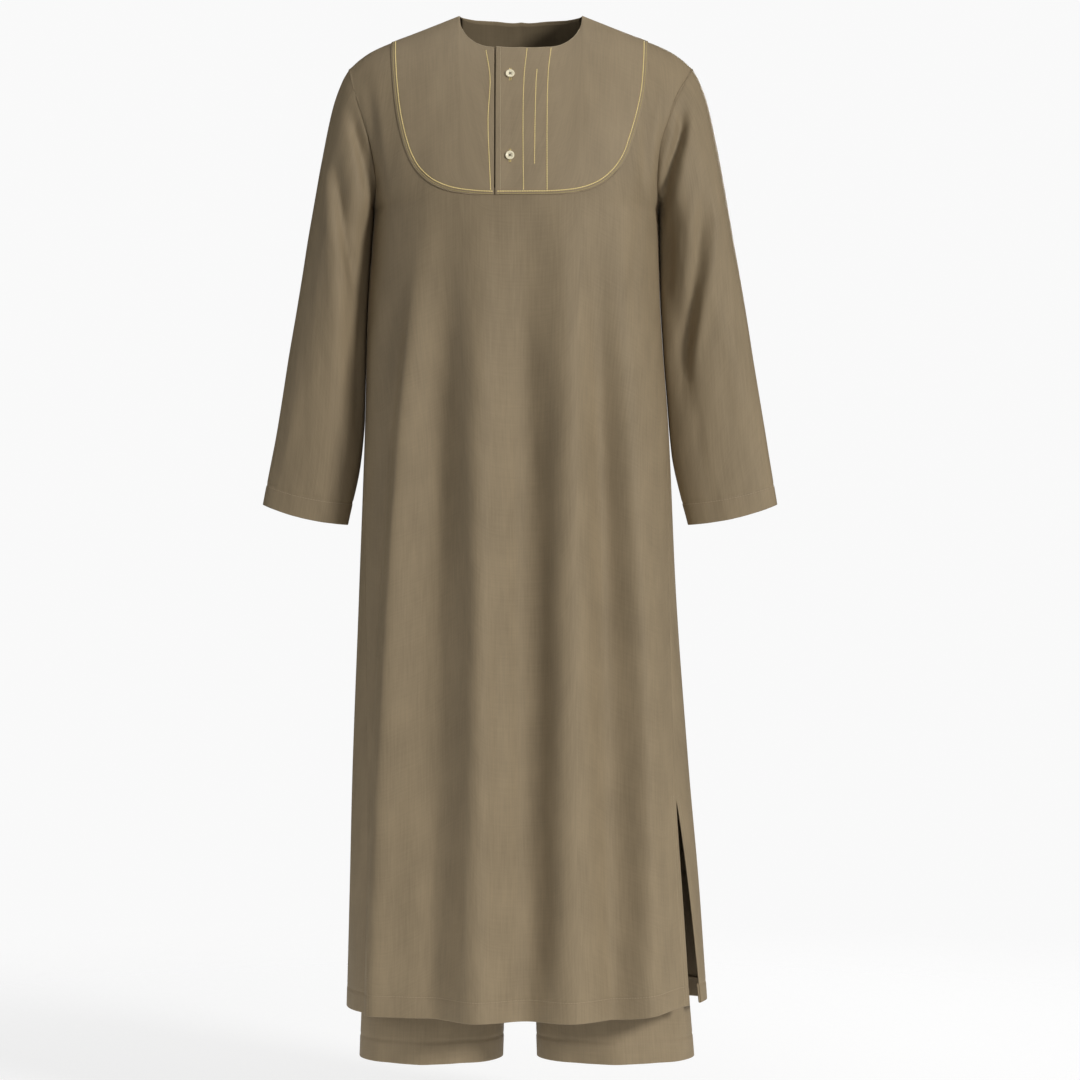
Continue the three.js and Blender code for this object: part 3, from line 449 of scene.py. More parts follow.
def mathNode(tree, operation, a, b):
    node = tree.nodes.new("ShaderNodeMath")
    node.operation = operation
    for socket, value in zip(node.inputs, (a, b)):
        if isinstance(value, (int, float)):
            socket.default_value = value
        else:
            tree.links.new(value, socket)
    return node.outputs[0]


# A fine plain weave in the UV map's metres, with slubs, faint mottling and soft sheen.
def clothMaterial(name, look):
    material = bpy.data.materials.new(name)
    material.use_nodes = True
    tree = material.node_tree
    shader = tree.nodes["Principled BSDF"]
    uv = tree.nodes.new("ShaderNodeUVMap")
    uv.uv_map = "cloth"
    parts = tree.nodes.new("ShaderNodeSeparateXYZ")
    link(tree, uv, "UV", parts, "Vector")
    turns = 2 * math.pi / look["pitch"]
    warp = mathNode(tree, "SINE", mathNode(tree, "MULTIPLY", parts.outputs["X"], turns), 0)
    weft = mathNode(tree, "SINE", mathNode(tree, "MULTIPLY", parts.outputs["Y"], turns), 0)
    weave = mathNode(tree, "MULTIPLY", warp, weft)

    def noise(scale, stretch, detail):
        mapping = tree.nodes.new("ShaderNodeMapping")
        mapping.inputs["Scale"].default_value = (stretch[0], stretch[1], 1)
        link(tree, uv, "UV", mapping, "Vector")
        node = tree.nodes.new("ShaderNodeTexNoise")
        node.inputs["Scale"].default_value = scale
        node.inputs["Detail"].default_value = detail
        link(tree, mapping, "Vector", node, "Vector")
        return node.outputs["Fac"]

    mottle = noise(26, (1.0, 0.45), 3)
    slub = noise(420, (1.0, 0.05), 2)
    cross = mathNode(tree, "MULTIPLY", noise(420, (0.05, 1.0), 2), 0.55)
    threads = mathNode(tree, "ADD", slub, cross)
    shade = mathNode(tree, "ADD", mathNode(tree, "MULTIPLY", mottle, look["mottle"]),
                     mathNode(tree, "MULTIPLY", threads, look["slub"]))
    mix = tree.nodes.new("ShaderNodeMix")
    mix.data_type = "RGBA"
    mix.inputs["A"].default_value = (*[c * look["dark"] for c in look["colour"]], 1)
    mix.inputs["B"].default_value = (*look["colour"], 1)
    tree.links.new(shade, mix.inputs["Factor"])
    tree.links.new(mix.outputs["Result"], shader.inputs["Base Color"])
    bump = tree.nodes.new("ShaderNodeBump")
    bump.inputs["Strength"].default_value = look["bump"]
    bump.inputs["Distance"].default_value = 0.00006
    tree.links.new(mathNode(tree, "ADD", weave, threads), bump.inputs["Height"])
    link(tree, bump, "Normal", shader, "Normal")
    shader.inputs["Roughness"].default_value = look["roughness"]
    shader.inputs["Specular IOR Level"].default_value = look["specular"]
    shader.inputs["Sheen Weight"].default_value = look["sheen"]
    shader.inputs["Sheen Roughness"].default_value = 0.4
    shader.inputs["Sheen Tint"].default_value = (1, 0.94, 0.84, 1)
    return material


def plainMaterial(name, colour, roughness, specular=0.5):
    material = bpy.data.materials.new(name)
    material.use_nodes = True
    shader = material.node_tree.nodes["Principled BSDF"]
    shader.inputs["Base Color"].default_value = (*colour, 1)
    shader.inputs["Roughness"].default_value = roughness
    shader.inputs["Specular IOR Level"].default_value = specular
    return material


looks = {
    "cloth": dict(colour=(0.322, 0.248, 0.152), dark=0.52, pitch=0.0005, mottle=0.7, slub=0.47,
                  bump=0.45, roughness=0.6, specular=0.2, sheen=0.02),
    # The bib's cloth is a little lighter than the rest.
    "bib": dict(colour=(0.345, 0.268, 0.168), dark=0.6, pitch=0.0005, mottle=0.7, slub=0.47,
                bump=0.45, roughness=0.6, specular=0.2, sheen=0.02),
    # The underlap and the neck facing are the thobe's own cloth; this darker copy of it is painted
    # shade, for where they lie inside the opening and the neck.
    "lining": dict(colour=(0.215, 0.165, 0.1), dark=0.62, pitch=0.0006, mottle=0.7, slub=0.47,
                   bump=0.4, roughness=0.75, specular=0.15, sheen=0.02),
}
clothLook = clothMaterial("fine_cloth", looks["cloth"])
bibLook = clothMaterial("bib_cloth", looks["bib"])
facingPaintedShadeLook = clothMaterial("facing_cloth_painted_shade", looks["lining"])
goldThread = plainMaterial("gold_thread", (0.95, 0.76, 0.33), 0.35)
# A darker copy of the gold thread, painted shade: the row sewn in it round the bib stands for the
# shadow along the bib's raised edge.
goldThreadPaintedShade = plainMaterial("gold_thread_painted_shade", (0.48, 0.38, 0.16), 0.5)
paleThread = plainMaterial("pale_thread", (0.5, 0.41, 0.27), 0.5)
mutedThread = plainMaterial("muted_thread", (0.38, 0.3, 0.19), 0.55)
darkThread = plainMaterial("dark_thread", (0.03, 0.022, 0.014), 0.6)
buttonLook = plainMaterial("button_ivory", (0.95, 0.86, 0.62), 0.25)
print("materials done")

# Front and back panels

seam = {"radius": 0.75, "lap": 9, "apart": 0.15}
hem = {"radius": 1.1}
placket = {"openX": -33.4, "openWidth": 1.9, "openEnd": -243, "buttonX": -13.6, "holeHalf": 0.45,
           "buttons": (-91.6, -202), "holeLength": 16}
openEdges = [placket["openX"] + side * placket["openWidth"] / 2 for side in (-1, 1)]
holeEdges = [placket["buttonX"] + side * placket["holeHalf"] for side in (-1, 1)]
neckDips = [12, 20, 28, 36, 43, 49]  # depths at which columns follow the neck's corner
columnGap = 0.004  # across the panel, the least between a column and a fixed one
upperT = np.linspace(1, 0, 56)
nearHem = thobe["hem"] + 44
lowerZ = np.concatenate([np.linspace(thobe["armpit"], thobe["slitTop"], 118)[1:],
                         np.linspace(thobe["slitTop"], nearHem, 38)[1:],
                         np.linspace(nearHem, thobe["hem"], 25)[1:]])


def neckCorner(face):
    power = thobe["neckPower"][face]
    dips = np.array(neckDips) / thobe["neckDepth"]
    return thobe["neckHalf"] * (1 - dips ** power) ** (1 / power)


# The columns that don't lie too close to the ones that are fixed.
def clearOf(q, fixed):
    return q[np.abs(q[:, None] - fixed).min(axis=1) > columnGap]


def panelColumns(face, extra):
    corner = neckCorner(face)
    inner = np.linspace(-corner[-1], corner[-1], 42)[1:-1]
    middle = acrossAt(np.sort(np.concatenate([inner, corner, -corner])), "crest")
    if extra:
        fixed = acrossAt(extra)
        middle = np.sort(np.concatenate([clearOf(middle, fixed), fixed]))
    left, right = (float(acrossAt(side * thobe["neckHalf"], "crest")) for side in (1, -1))
    return np.concatenate([np.linspace(-1, right, 58), middle, np.linspace(left, 1, 58)])


# Fine creases above the armpit: calm at the seams, and where t is 0 the same as below it.
def upperHeight(face, q, t, p):
    calm = (1 - np.abs(q) ** 6) * ramp(1 - t, 0, 0.06) * 0.98 + 0.02
    meet = ramp(t, 0, 0.25)
    facing = 0.25 + 0.75 * facingShare(q * np.pi / 2)
    return fineHeight(face, p[..., 0], p[..., 2]) * (facing * (1 - meet) + calm * meet)


def bodyGrid(face, across):
    q, t = np.broadcast_arrays(across, upperT[:, None])
    top = aboveArmpit(face, q, t, columnShare(face, across)[None])
    n = gridNormals(top, awayFrom=(0, 0))
    rise = upperHeight(face, q, t, top)
    rise += foldHeight(face, top[..., 0], top[..., 2]) * facingShare(q * np.pi / 2)
    return np.concatenate([top + n * rise[..., None],
                           belowArmpit(face, *np.broadcast_arrays(across, lowerZ[:, None]))])


# The cells of a grid whose middle lies between two x and two z.
def cellsIn(p, fromX, toX, fromZ, toZ):
    middle = (p[1:, 1:] + p[:-1, :-1]) / 2
    x, z = middle[..., 0], middle[..., 2]
    return (x > fromX) & (x < toX) & (z > fromZ) & (z < toZ)


# The opening and the buttonholes, on the side that faces forward only.
def openingCells(p, n):
    cells = cellsIn(p, *openEdges, placket["openEnd"], 0)
    half = placket["holeLength"] / 2
    for z in placket["buttons"]:
        cells |= cellsIn(p, *holeEdges, z - half, z + half)
    return cells & (n[1:, 1:, 1] < 0.2)


def finishPanel(p, n):
    for edge in ("left", "right", "top"):
        drawBack(p, edge, seam["apart"])
        p, n = turnUnder(p, n, edge, seam["radius"], seam["lap"])
    return turnUnder(p, n, "bottom", hem["radius"], thobe["hemFold"])


faces = ("front", "back")
columns = {"front": panelColumns("front", openEdges + holeEdges),
           "back": panelColumns("back", [])}
panels = {}
for face in faces:
    grid = bodyGrid(face, columns[face])
    normals = gridNormals(grid, awayFrom=(0, 0))
    panels[face] = grid, normals
    p, n = finishPanel(grid.copy(), normals)
    cut = openingCells(p, n) if face == "front" else None
    piece = gridObject(f"thobe_{face}_cloth", p, n, clothLook, wall=thobe["cloth"], cut=cut)
    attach(piece, "root")
    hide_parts(f"thobe_{face}")
    print(face, "panel", p.shape)

# Sleeves

sleeve = {
    "outerZ": [-71, -86, -112, -139, -193, -246, -354, -461, -568, -655],
    "outerX": {"right": [229, 238, 248, 255, 266, 275.5, 294, 311.5, 329, 346],
               "left": [229, 238, 248, 255, 266, 275.5, 294, 311.5, 329, 343]},
    "innerZ": [-262, -300, -400, -510, -595, -682],
    "innerX": {"right": [196, 201, 207, 211, 214, 232], "left": [184, 188, 190, 194, 203, 224]},
    "depthAlong": [0, 0.15, 0.35, 0.6, 0.85, 1], "depth": [61, 69, 66, 52, 36, 28],
    "innerLag": 1.6, "capEnd": 0.3, "cuffDip": 5, "beside": 1.5, "hemFold": 28,
    "pressed": 0.3, "pressedUntil": (-600, -540), "pressedShare": (0.04, 0.17),
    "length": 600, "stations": 116,
    "cuffFrom": 0.92, "rows": 120, "cuffRows": 33,
    "clear": 0.6,             # half the wall and a little air, beside the body
}
sleeveSeed = {"left": 2.2, "right": 5.7}
# Creases as seen from the front or the back, x on the sleeve's own side.
sleeveCreases = {
    ("left", "front"): [
        ((246, 231, 197), (-205, -344, -513), (10, 15), -12, (0.3, 0.35)),
        ((214, 210, 194, 186, 184), (-106, -160, -213, -258, -292), (6, 9), -13, (0.3, 0.2)),
        ((228, 224, 214, 206), (-116, -165, -218, -270), (7, 10), 4, (0.35, 0.35)),
        ((206, 202, 199), (-278, -345, -420), (6, 8), 4, (0.35, 0.4)),
        ((192, 198, 207, 216), (-250, -340, -440, -560), (9, 17), -10, (0.25, 0.3)),
        ((268, 288, 312), (-370, -470, -590), (14, 15), 4, (0.4, 0.3)),
        ((268, 262, 254, 246), (-200, -270, -340, -420), (9, 8), 3.2, (0.35, 0.4)),
        ((254, 240, 228), (-300, -400, -500), (7, 7), 2.6, (0.4, 0.4)),
        ((232, 236, 242), (-470, -560, -640), (9, 9), -1.6, (0.4, 0.4)),
        ((283, 292, 300), (-330, -430, -520), (7, 7), -1.3, (0.4, 0.4)),
    ],
    ("right", "front"): [
        ((248, 229, 206), (-185, -310, -404), (14, 9), -12, (0.3, 0.35)),
        ((227, 217, 207, 199), (-118, -165, -205, -255), (9, 7), -8, (0.35, 0.3)),
        ((221, 214, 208), (-285, -330, -390), (7, 8), 4.5, (0.35, 0.4)),
        ((206, 212, 217, 222), (-250, -340, -440, -560), (9, 15), -8, (0.25, 0.3)),
        ((250, 246, 240), (-280, -375, -480), (12, 13), 4, (0.4, 0.4)),
        ((262, 258, 250), (-180, -250, -330), (8, 8), 3, (0.35, 0.4)),
        ((276, 284, 296), (-320, -430, -540), (10, 10), -1.8, (0.4, 0.4)),
        ((226, 230, 238), (-450, -540, -620), (8, 9), -1.6, (0.4, 0.4)),
        ((292, 306, 318), (-470, -560, -640), (9, 9), 1.4, (0.4, 0.3)),
    ],
    ("left", "back"): [
        ((250, 226, 204), (-200, -300, -400), (12, 13), -7, (0.3, 0.35)),
        ((262, 262, 270), (-330, -430, -540), (15, 14), 4, (0.4, 0.4)),
        ((236, 222, 210), (-140, -190, -240), (8, 9), -3.5, (0.35, 0.4)),
        ((284, 300, 316), (-380, -490, -600), (9, 9), -1.8, (0.4, 0.3)),
    ],
    ("right", "back"): [
        ((240, 232, 214), (-230, -330, -440), (12, 13), -7, (0.3, 0.35)),
        ((270, 276, 290), (-300, -420, -520), (15, 14), 4, (0.4, 0.4)),
        ((232, 220, 208), (-150, -200, -250), (8, 9), -3.5, (0.35, 0.4)),
        ((244, 236, 240), (-420, -520, -620), (9, 9), -1.8, (0.4, 0.3)),
    ],
}


# Points at shares of the length of the curve x(z), as seen from the front.
def alongLine(xs, zs, share):
    z = np.linspace(zs[0], zs[-1], 400)
    x = curve(zs, xs, z)
    length = np.concatenate([[0], np.cumsum(np.hypot(np.diff(x), np.diff(z)))])
    return np.interp(share * length[-1], length, x), np.interp(share * length[-1], length, z)


def sleeveGrid(name, side):
    cuff = np.linspace(sleeve["cuffFrom"], 1, sleeve["cuffRows"])[1:]
    along = np.concatenate([np.linspace(0, sleeve["cuffFrom"], sleeve["rows"]), cuff])[:, None]
    angle = np.linspace(0, 2 * np.pi, sleeve["stations"], endpoint=False)[None]
    inFront = angle <= np.pi
    t = np.where(inFront, angle, 2 * np.pi - angle) / np.pi
    outerX, innerX = sleeve["outerX"][name], sleeve["innerX"][name]

    def oval(a):
        farX, farZ = alongLine(outerX, sleeve["outerZ"], a)
        nearX, nearZ = alongLine(innerX, sleeve["innerZ"], a ** sleeve["innerLag"])
        depth = curve(sleeve["depthAlong"], sleeve["depth"], a) * np.where(inFront, -1, 1)
        x = (farX + nearX) / 2 - (farX - nearX) / 2 * np.cos(np.pi * t)
        z = (farZ + nearZ) / 2 - (farZ - nearZ) / 2 * np.cos(np.pi * t)
        centre = stack(side * (farX + nearX) / 2, 0, (farZ + nearZ) / 2)
        return stack(side * x, depth * np.sin(np.pi * t), z), centre

    p, centre = oval(along)
    seamLine = np.where(inFront[..., None], *(armholePoint(face, side, t) for face in faces))
    toSeam = seamLine - oval(np.zeros_like(along))[0]
    p = p + toSeam * (1 - ramp(along, 0, sleeve["capEnd"]))[..., None]
    endX, endZ = alongLine(outerX, sleeve["outerZ"], np.array([0.99, 1.0]))
    down = unit(np.array([side * (endX[1] - endX[0]), 0, endZ[1] - endZ[0]]))
    p += down * (sleeve["cuffDip"] * np.sin(np.pi * t) ** 2 * ramp(along, 0.7, 1))[..., None]

    # Creases, then softness, small puckers under the armhole seam, and the hem.
    fromFront, height = side * p[..., 0], p[..., 2]
    rise = np.where(inFront, *(creaseHeight(fromFront, height, sleeveCreases[name, face])
                               for face in faces))
    rise = rise * (np.sin(np.pi * t) ** 0.7 * ramp(along, 0, 0.03))
    seed = sleeveSeed[name]
    around = np.cos(angle) * 2.6 + np.where(inFront, 0, 3)
    soft = 0.8 * drift(around * 1.6, along * 9, seed)
    soft += 0.3 * drift(around * 4.2, along * 21, seed + 1)
    rise += soft * ramp(along, 0, 0.1)
    puckers = 0.35 * np.sin(angle * 31 + 2 * np.sin(3 * angle)) * np.exp(-along / 0.02)
    rise += puckers * ramp(along, 0, 0.01) * np.sin(np.pi * t)
    rise += hemRelief((1 - along) * sleeve["length"], sleeve["hemFold"], angle * 50, seed)
    p = p + unit(p - centre) * rise[..., None]

    # The inner side keeps clear of the body.
    z = p[..., 2]
    deep = either(p[..., 1] < 0, sectionZ, reach["front"], reach["back"], z)
    n = thobe["squareness"]
    flank = np.maximum(1 - (np.abs(p[..., 1]) / deep) ** n, 0) ** (1 / n)
    flank = curve(sectionZ, reach[name], z) * flank
    body = np.where(z < thobe["armpit"], flank, curve(armholeZ, armholeX[name], z))
    least = body + (sleeve["beside"] + sleeve["clear"]) * np.minimum(along / 0.05, 1)
    x = side * p[..., 0]
    clear = (x + least + np.hypot(x - least, 1)) / 2
    # Above the elbow it lies pressed against the body's flank.
    press = 1 - ramp(t, *sleeve["pressedShare"])
    press = press * ramp(z, *sleeve["pressedUntil"]) * ramp(along, 0, 0.03)
    clear += (body + sleeve["pressed"] + sleeve["clear"] - clear) * press * (clear < body + 26)
    p[..., 0] = side * np.where(along > 0, clear, x)
    return p


sides = (("left", 1), ("right", -1))
sleeveGrids = {}
for name, side in sides:
    p = sleeveGrid(name, side)
    n = gridNormals(p, ring=True)
    sleeveGrids[name] = p, n
    q = p.copy()
    drawBack(q, "top", seam["apart"] + 0.1)
    q, m = turnUnder(q, n, "top", seam["radius"], seam["lap"])
    q, m = turnUnder(q, m, "bottom", hem["radius"], sleeve["hemFold"])
    piece = gridObject(f"sleeve_{name}_cloth", q, m, clothLook, wall=thobe["cloth"], ring=True)
    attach(piece, "root")
    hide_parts(f"sleeve_{name}")
print("sleeves done")

# The bib, its placket and the facing

bib = {
    "z": [-36, -70, -108, -142, -175, -200, -220, -237, -248, -253],
    "right": [173, 171, 167.5, 163, 155.5, 147, 135, 116, 90, 60],
    "left": [170, 168, 164.5, 157.5, 148, 139, 126, 107, 82, 50],
    "cloth": 0.55, "height": 1.2, "edgeRadius": 0.55,
    "lapRise": 1.3, "lapFade": 14,
    "rows": 110, "stitched": (3.2, 6.4),
}


def bibEdge(side, t):
    table = bib["left"] if side > 0 else bib["right"]

    def overshoot(q):
        p = aboveArmpit("front", side * q, t)
        return side * p[..., 0] - curve(bib["z"], table, p[..., 2])

    return side * solve(overshoot, np.zeros_like(t), 0, 1)


def heightAt(z, across):
    return solve(lambda t: aboveArmpit("front", np.full(t.shape, across), t)[..., 2], z, 0, 1)


buttonAcross = float(acrossAt(placket["buttonX"]))
bibEnd = float(heightAt(np.array(bib["z"][-1], float), buttonAcross))
bibT = 1 - (1 - bibEnd) * (1 - (1 - np.linspace(0, 1, bib["rows"])) ** 1.25)


# Points and normals of a grid on a panel above the armpit.
def onPanel(face, q, t):
    p = aboveArmpit(face, q, t)
    return p, gridNormals(p, awayFrom=(0, 0))


def bibGrid(side):
    start = float(acrossAt(openEdges[1 if side > 0 else 0]))
    full = float(bibEdge(side, np.array([1.0]))[0])
    edge = bibEdge(side, bibT)
    corners = acrossAt(side * neckCorner("front"), "crest")
    neckEdge = float(acrossAt(side * thobe["neckHalf"], "crest"))
    inner = np.linspace(start, corners[-1], 38 if side > 0 else 16)[:-1]
    fixed = acrossAt(holeEdges if side > 0 else [])
    if side > 0:
        inner = clearOf(inner, fixed)
    q = np.sort(np.concatenate([inner, fixed, corners, np.linspace(neckEdge, full, 44)]))[::side]
    # Further down, the outer columns draw in to the bib's curve.
    cut = ((full - edge) / (full - start))[:, None]
    hold = np.minimum(8, 0.8 / np.maximum(cut, 0.01))
    share = ((q - start) / (full - start))[None]
    q = start + (full - start) * (share - cut * share ** hold)
    t = np.broadcast_to(bibT[:, None], q.shape)
    p, n = onPanel("front", q, t)
    return p + n * upperHeight("front", q, t, p)[..., None], n


# Two grooves along the bib's outline, where it is stitched, and small puckers inside them.
def puckered(p, n, side):
    steps = np.linalg.norm(np.diff(p, axis=1), axis=-1)
    inset = np.cumsum(steps[:, ::-1], axis=1)[:, ::-1]
    inset = np.concatenate([inset, np.zeros((len(p), 1))], axis=1)
    rise = 0.16 * np.sin(p[..., 2] / 2.6 + side) * np.exp(-((inset - 8) / 7) ** 2)
    for row in bib["stitched"]:
        rise -= 0.22 * np.exp(-((inset - row) / 1.3) ** 2)
    return p + n * rise[..., None]


bibs = {}
for name, side in sides:
    p, n = bibGrid(side)
    fromEdge = np.abs(p[..., 0] - openEdges[1 if side > 0 else 0])
    if side > 0:
        lift = bib["lapRise"] * np.exp(-(fromEdge / bib["lapFade"]) ** 2)
    else:
        lift = -0.25 * np.exp(-(fromEdge / 4) ** 2)
    p = puckered(p, n, side) + n * (bib["height"] + lift)[..., None]
    bibs[name] = p, n
    q, m = p.copy(), n
    drawBack(q, "top", seam["apart"])
    for edge in ("right", "bottom", "left"):
        q, m = turnUnder(q, m, edge, bib["edgeRadius"], 6)
    q, m = turnUnder(q, m, "top", 1.5, 30)
    holes = openingCells(q, m) if side > 0 else None
    piece = gridObject(f"bib_{name}_cloth", q, m, bibLook, wall=bib["cloth"], cut=holes)
    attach(piece, "root")
    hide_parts(f"bib_{name}")

openEnd = float(heightAt(np.array(float(placket["openEnd"])), buttonAcross))
q, t = np.broadcast_arrays(acrossAt(np.linspace(-47, 9, 20)), np.linspace(1, openEnd, 64)[:, None])
p, n = onPanel("front", q, t)
p = p + n * (fineHeight("front", p[..., 0], p[..., 2]) - 3.2)[..., None]
# Its cloth is painted darker, as shade inside the opening.
piece = gridObject("underlap_cloth", p, n, facingPaintedShadeLook, wall=0.6)
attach(piece, "root")
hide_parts("placket_underlap")

# The facing inside the back of the neck.
right, left = (float(acrossAt(side * thobe["neckHalf"], "crest")) for side in (-1, 1))
between = columns["back"][(columns["back"] >= right) & (columns["back"] <= left)]
q, t = np.broadcast_arrays(between, np.linspace(0.985, 0.78, 24)[:, None])
p, n = onPanel("back", q, t)
p = p + n * (-2.6 + 0.25 * drift(p[..., 0] / 14, p[..., 2] / 30, 3.0))[..., None]
# Its cloth is painted darker, as shade inside the back of the neck.
piece = gridObject("neck_facing_cloth", p, n, facingPaintedShadeLook, wall=0.6)
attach(piece, "root")
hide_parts("neck_facing")
print("bib, placket and facing done")

# Trousers and waistband

trousers = {
    "waist": -440, "bandHeight": 40, "crotch": -730, "fork": -610, "forkShape": 0.5,
    "hem": -1392, "hemFold": 30,
    "hipZ": [-440, -480, -600, -730], "hipSide": [142, 146, 172, 186],
    "hipDeep": {"front": [88, 90, 104, 108], "back": [94, 97, 106, 108]},
    "legZ": [-730, -900, -1100, -1392],
    "right": [190, 196, 205, 216], "left": [186, 192, 208, 232],
    "rightInner": [0.4, 7, 15, 24], "leftInner": [0.4, 6, 13, 21.5],
    "front": [100, 92, 82, 75], "back": [102, 96, 87, 77],
    "columns": 56,
    "seed": {"left": 0.7, "right": 3.9, "front": 0, "back": 2.4},
}
trouserCreases = {
    "right": [
        ((96, 108, 122, 132), (-620, -860, -1120, -1390), (14, 16), 3.4, (0.3, 0)),
        ((60, 66, 72, 78), (-700, -900, -1150, -1390), (16, 14), -3.0, (0.3, 0)),
        ((150, 164, 176), (-680, -1000, -1390), (15, 13), -3.0, (0.3, 0)),
        ((36, 40, 46), (-900, -1150, -1390), (11, 12), 2.0, (0.4, 0)),
    ],
    "left": [
        ((92, 104, 118, 126), (-620, -860, -1120, -1390), (16, 14), 3.4, (0.3, 0)),
        ((56, 62, 70, 74), (-720, -900, -1150, -1390), (14, 16), -3.0, (0.3, 0)),
        ((148, 166, 182), (-660, -1000, -1390), (13, 16), -3.2, (0.3, 0)),
        ((190, 200, 206), (-860, -1120, -1390), (12, 12), 2.2, (0.4, 0)),
    ],
}


def trouserGrid(name, face, side):
    forward = -1 if face == "front" else 1
    top, crotch = trousers["waist"] - trousers["bandHeight"] - 0.3, trousers["crotch"]
    nearHem = trousers["hem"] + 46
    z = np.concatenate([np.linspace(top, crotch, 58), np.linspace(crotch, nearHem, 60)[1:],
                        np.linspace(nearHem, trousers["hem"], 24)[1:]])[:, None]
    share = np.linspace(0, 1, trousers["columns"])[None]
    outer, inner, deep = (curve(trousers["legZ"], trousers[key], z)
                          for key in (name, name + "Inner", face))
    legX = side * ((outer + inner) / 2 + (outer - inner) / 2 * np.cos(np.pi * share))
    leg = stack(legX, forward * deep * np.sin(np.pi * share), z)
    hipDeep = curve(trousers["hipZ"], trousers["hipDeep"][face], z)
    hipX = side * curve(trousers["hipZ"], trousers["hipSide"], z) * np.cos(np.pi / 2 * share)
    hip = stack(hipX, forward * hipDeep * np.sin(np.pi / 2 * share), z)
    merged = np.clip((z - crotch) / (trousers["fork"] - crotch), 0, 1) ** trousers["forkShape"]
    p = leg + (hip - leg) * merged[..., None]
    n = gridNormals(p, awayFrom=(side * 100, 0))
    facing = np.sin(np.pi * share) ** 0.8 * (1 - ramp(z, -560, -480))
    seed = trousers["seed"][name] + trousers["seed"][face]
    rise = creaseHeight(side * p[..., 0], p[..., 2], trouserCreases[name]) * facing
    rise = rise * (1 if face == "front" else 0.85)
    rise += drift(p[..., 0] / 20, p[..., 2] / 110, seed) * facing
    rise += hemRelief(z - trousers["hem"], trousers["hemFold"], share * 220, seed)
    gathers = ramp(z, -600, -482) * 1.1 * np.sin(share * 58 + 3 * np.sin(share * 9 + seed))
    return p + n * (rise + gathers)[..., None], n


for name, side in sides:
    for face in faces:
        p, n = trouserGrid(name, face, side)
        for edge in ("left", "right"):
            drawBack(p, edge, seam["apart"])
            p, n = turnUnder(p, n, edge, seam["radius"], seam["lap"])
        p, n = turnUnder(p, n, "bottom", hem["radius"], trousers["hemFold"])
        piece = gridObject(f"trouser_{face}_{name}_cloth", p, n, clothLook, wall=thobe["cloth"])
        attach(piece, "root")
        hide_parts(f"trouser_{face}_{name}")

waistband = {"stations": 320, "rows": 9, "gathers": 62, "gatherDepth": 0.9, "roll": 1.2, "lap": 36}
turn = np.linspace(0, 2 * np.pi, waistband["stations"], endpoint=False)[None]
down = np.linspace(0, 1, waistband["rows"])[:, None]
z = trousers["waist"] - trousers["bandHeight"] * down
deep = either(np.cos(turn) > 0, trousers["hipZ"], *trousers["hipDeep"].values(), z)
wave = np.sin(turn * waistband["gathers"] + 2.5 * np.sin(turn * 5))
gather = waistband["gatherDepth"] * (wave * (0.75 + 0.25 * np.sin(turn * 17)) - 1)
p = stack(curve(trousers["hipZ"], trousers["hipSide"], z) * np.sin(turn), -deep * np.cos(turn), z)
n = gridNormals(p, ring=True)
p = p + n * (gather * (0.8 + 0.4 * np.sin(np.pi * down)))[..., None]
q, m = turnUnder(p, n, "top", waistband["roll"], waistband["lap"])
piece = gridObject("waistband_cloth", q, m, clothLook, wall=0.8, ring=True)
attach(piece, "root")
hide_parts("waistband")
print("trousers done")

# Kinds of stitching: a stitch's length, the space after it, the thread's radius and its look.
threadKinds = {
    "outline": dict(length=2.8, space=0.35, radius=0.7, material=goldThread),
    "gold": dict(length=2.8, space=0.35, radius=0.6, material=goldThread),
    # The gold thread painted darker, as shade along the bib's edge.
    "gold_painted_shade": dict(length=2.8, space=0.35, radius=0.42, material=goldThreadPaintedShade),
    "pale": dict(length=2.8, space=0.35, radius=0.38, material=paleThread),
    "neck": dict(length=2.4, space=0.3, radius=0.42, material=paleThread),
    "hem": dict(length=2.6, space=1.0, radius=0.34, material=mutedThread),
    "cuff": dict(length=2.6, space=1.0, radius=0.32, material=mutedThread),
    "slit": dict(length=2.6, space=1.0, radius=0.3, material=mutedThread, lift=0.2),
    "button": dict(length=3.3, space=0.1, radius=0.45, material=darkThread, lift=0.15),
    "buttonhole": dict(length=1.15, space=0.05, radius=0.5, material=goldThread, lift=0.3),
}
stitch = {"taper": (0.7, 1, 1, 1, 0.7), "sides": 6, "sunk": 0.15}


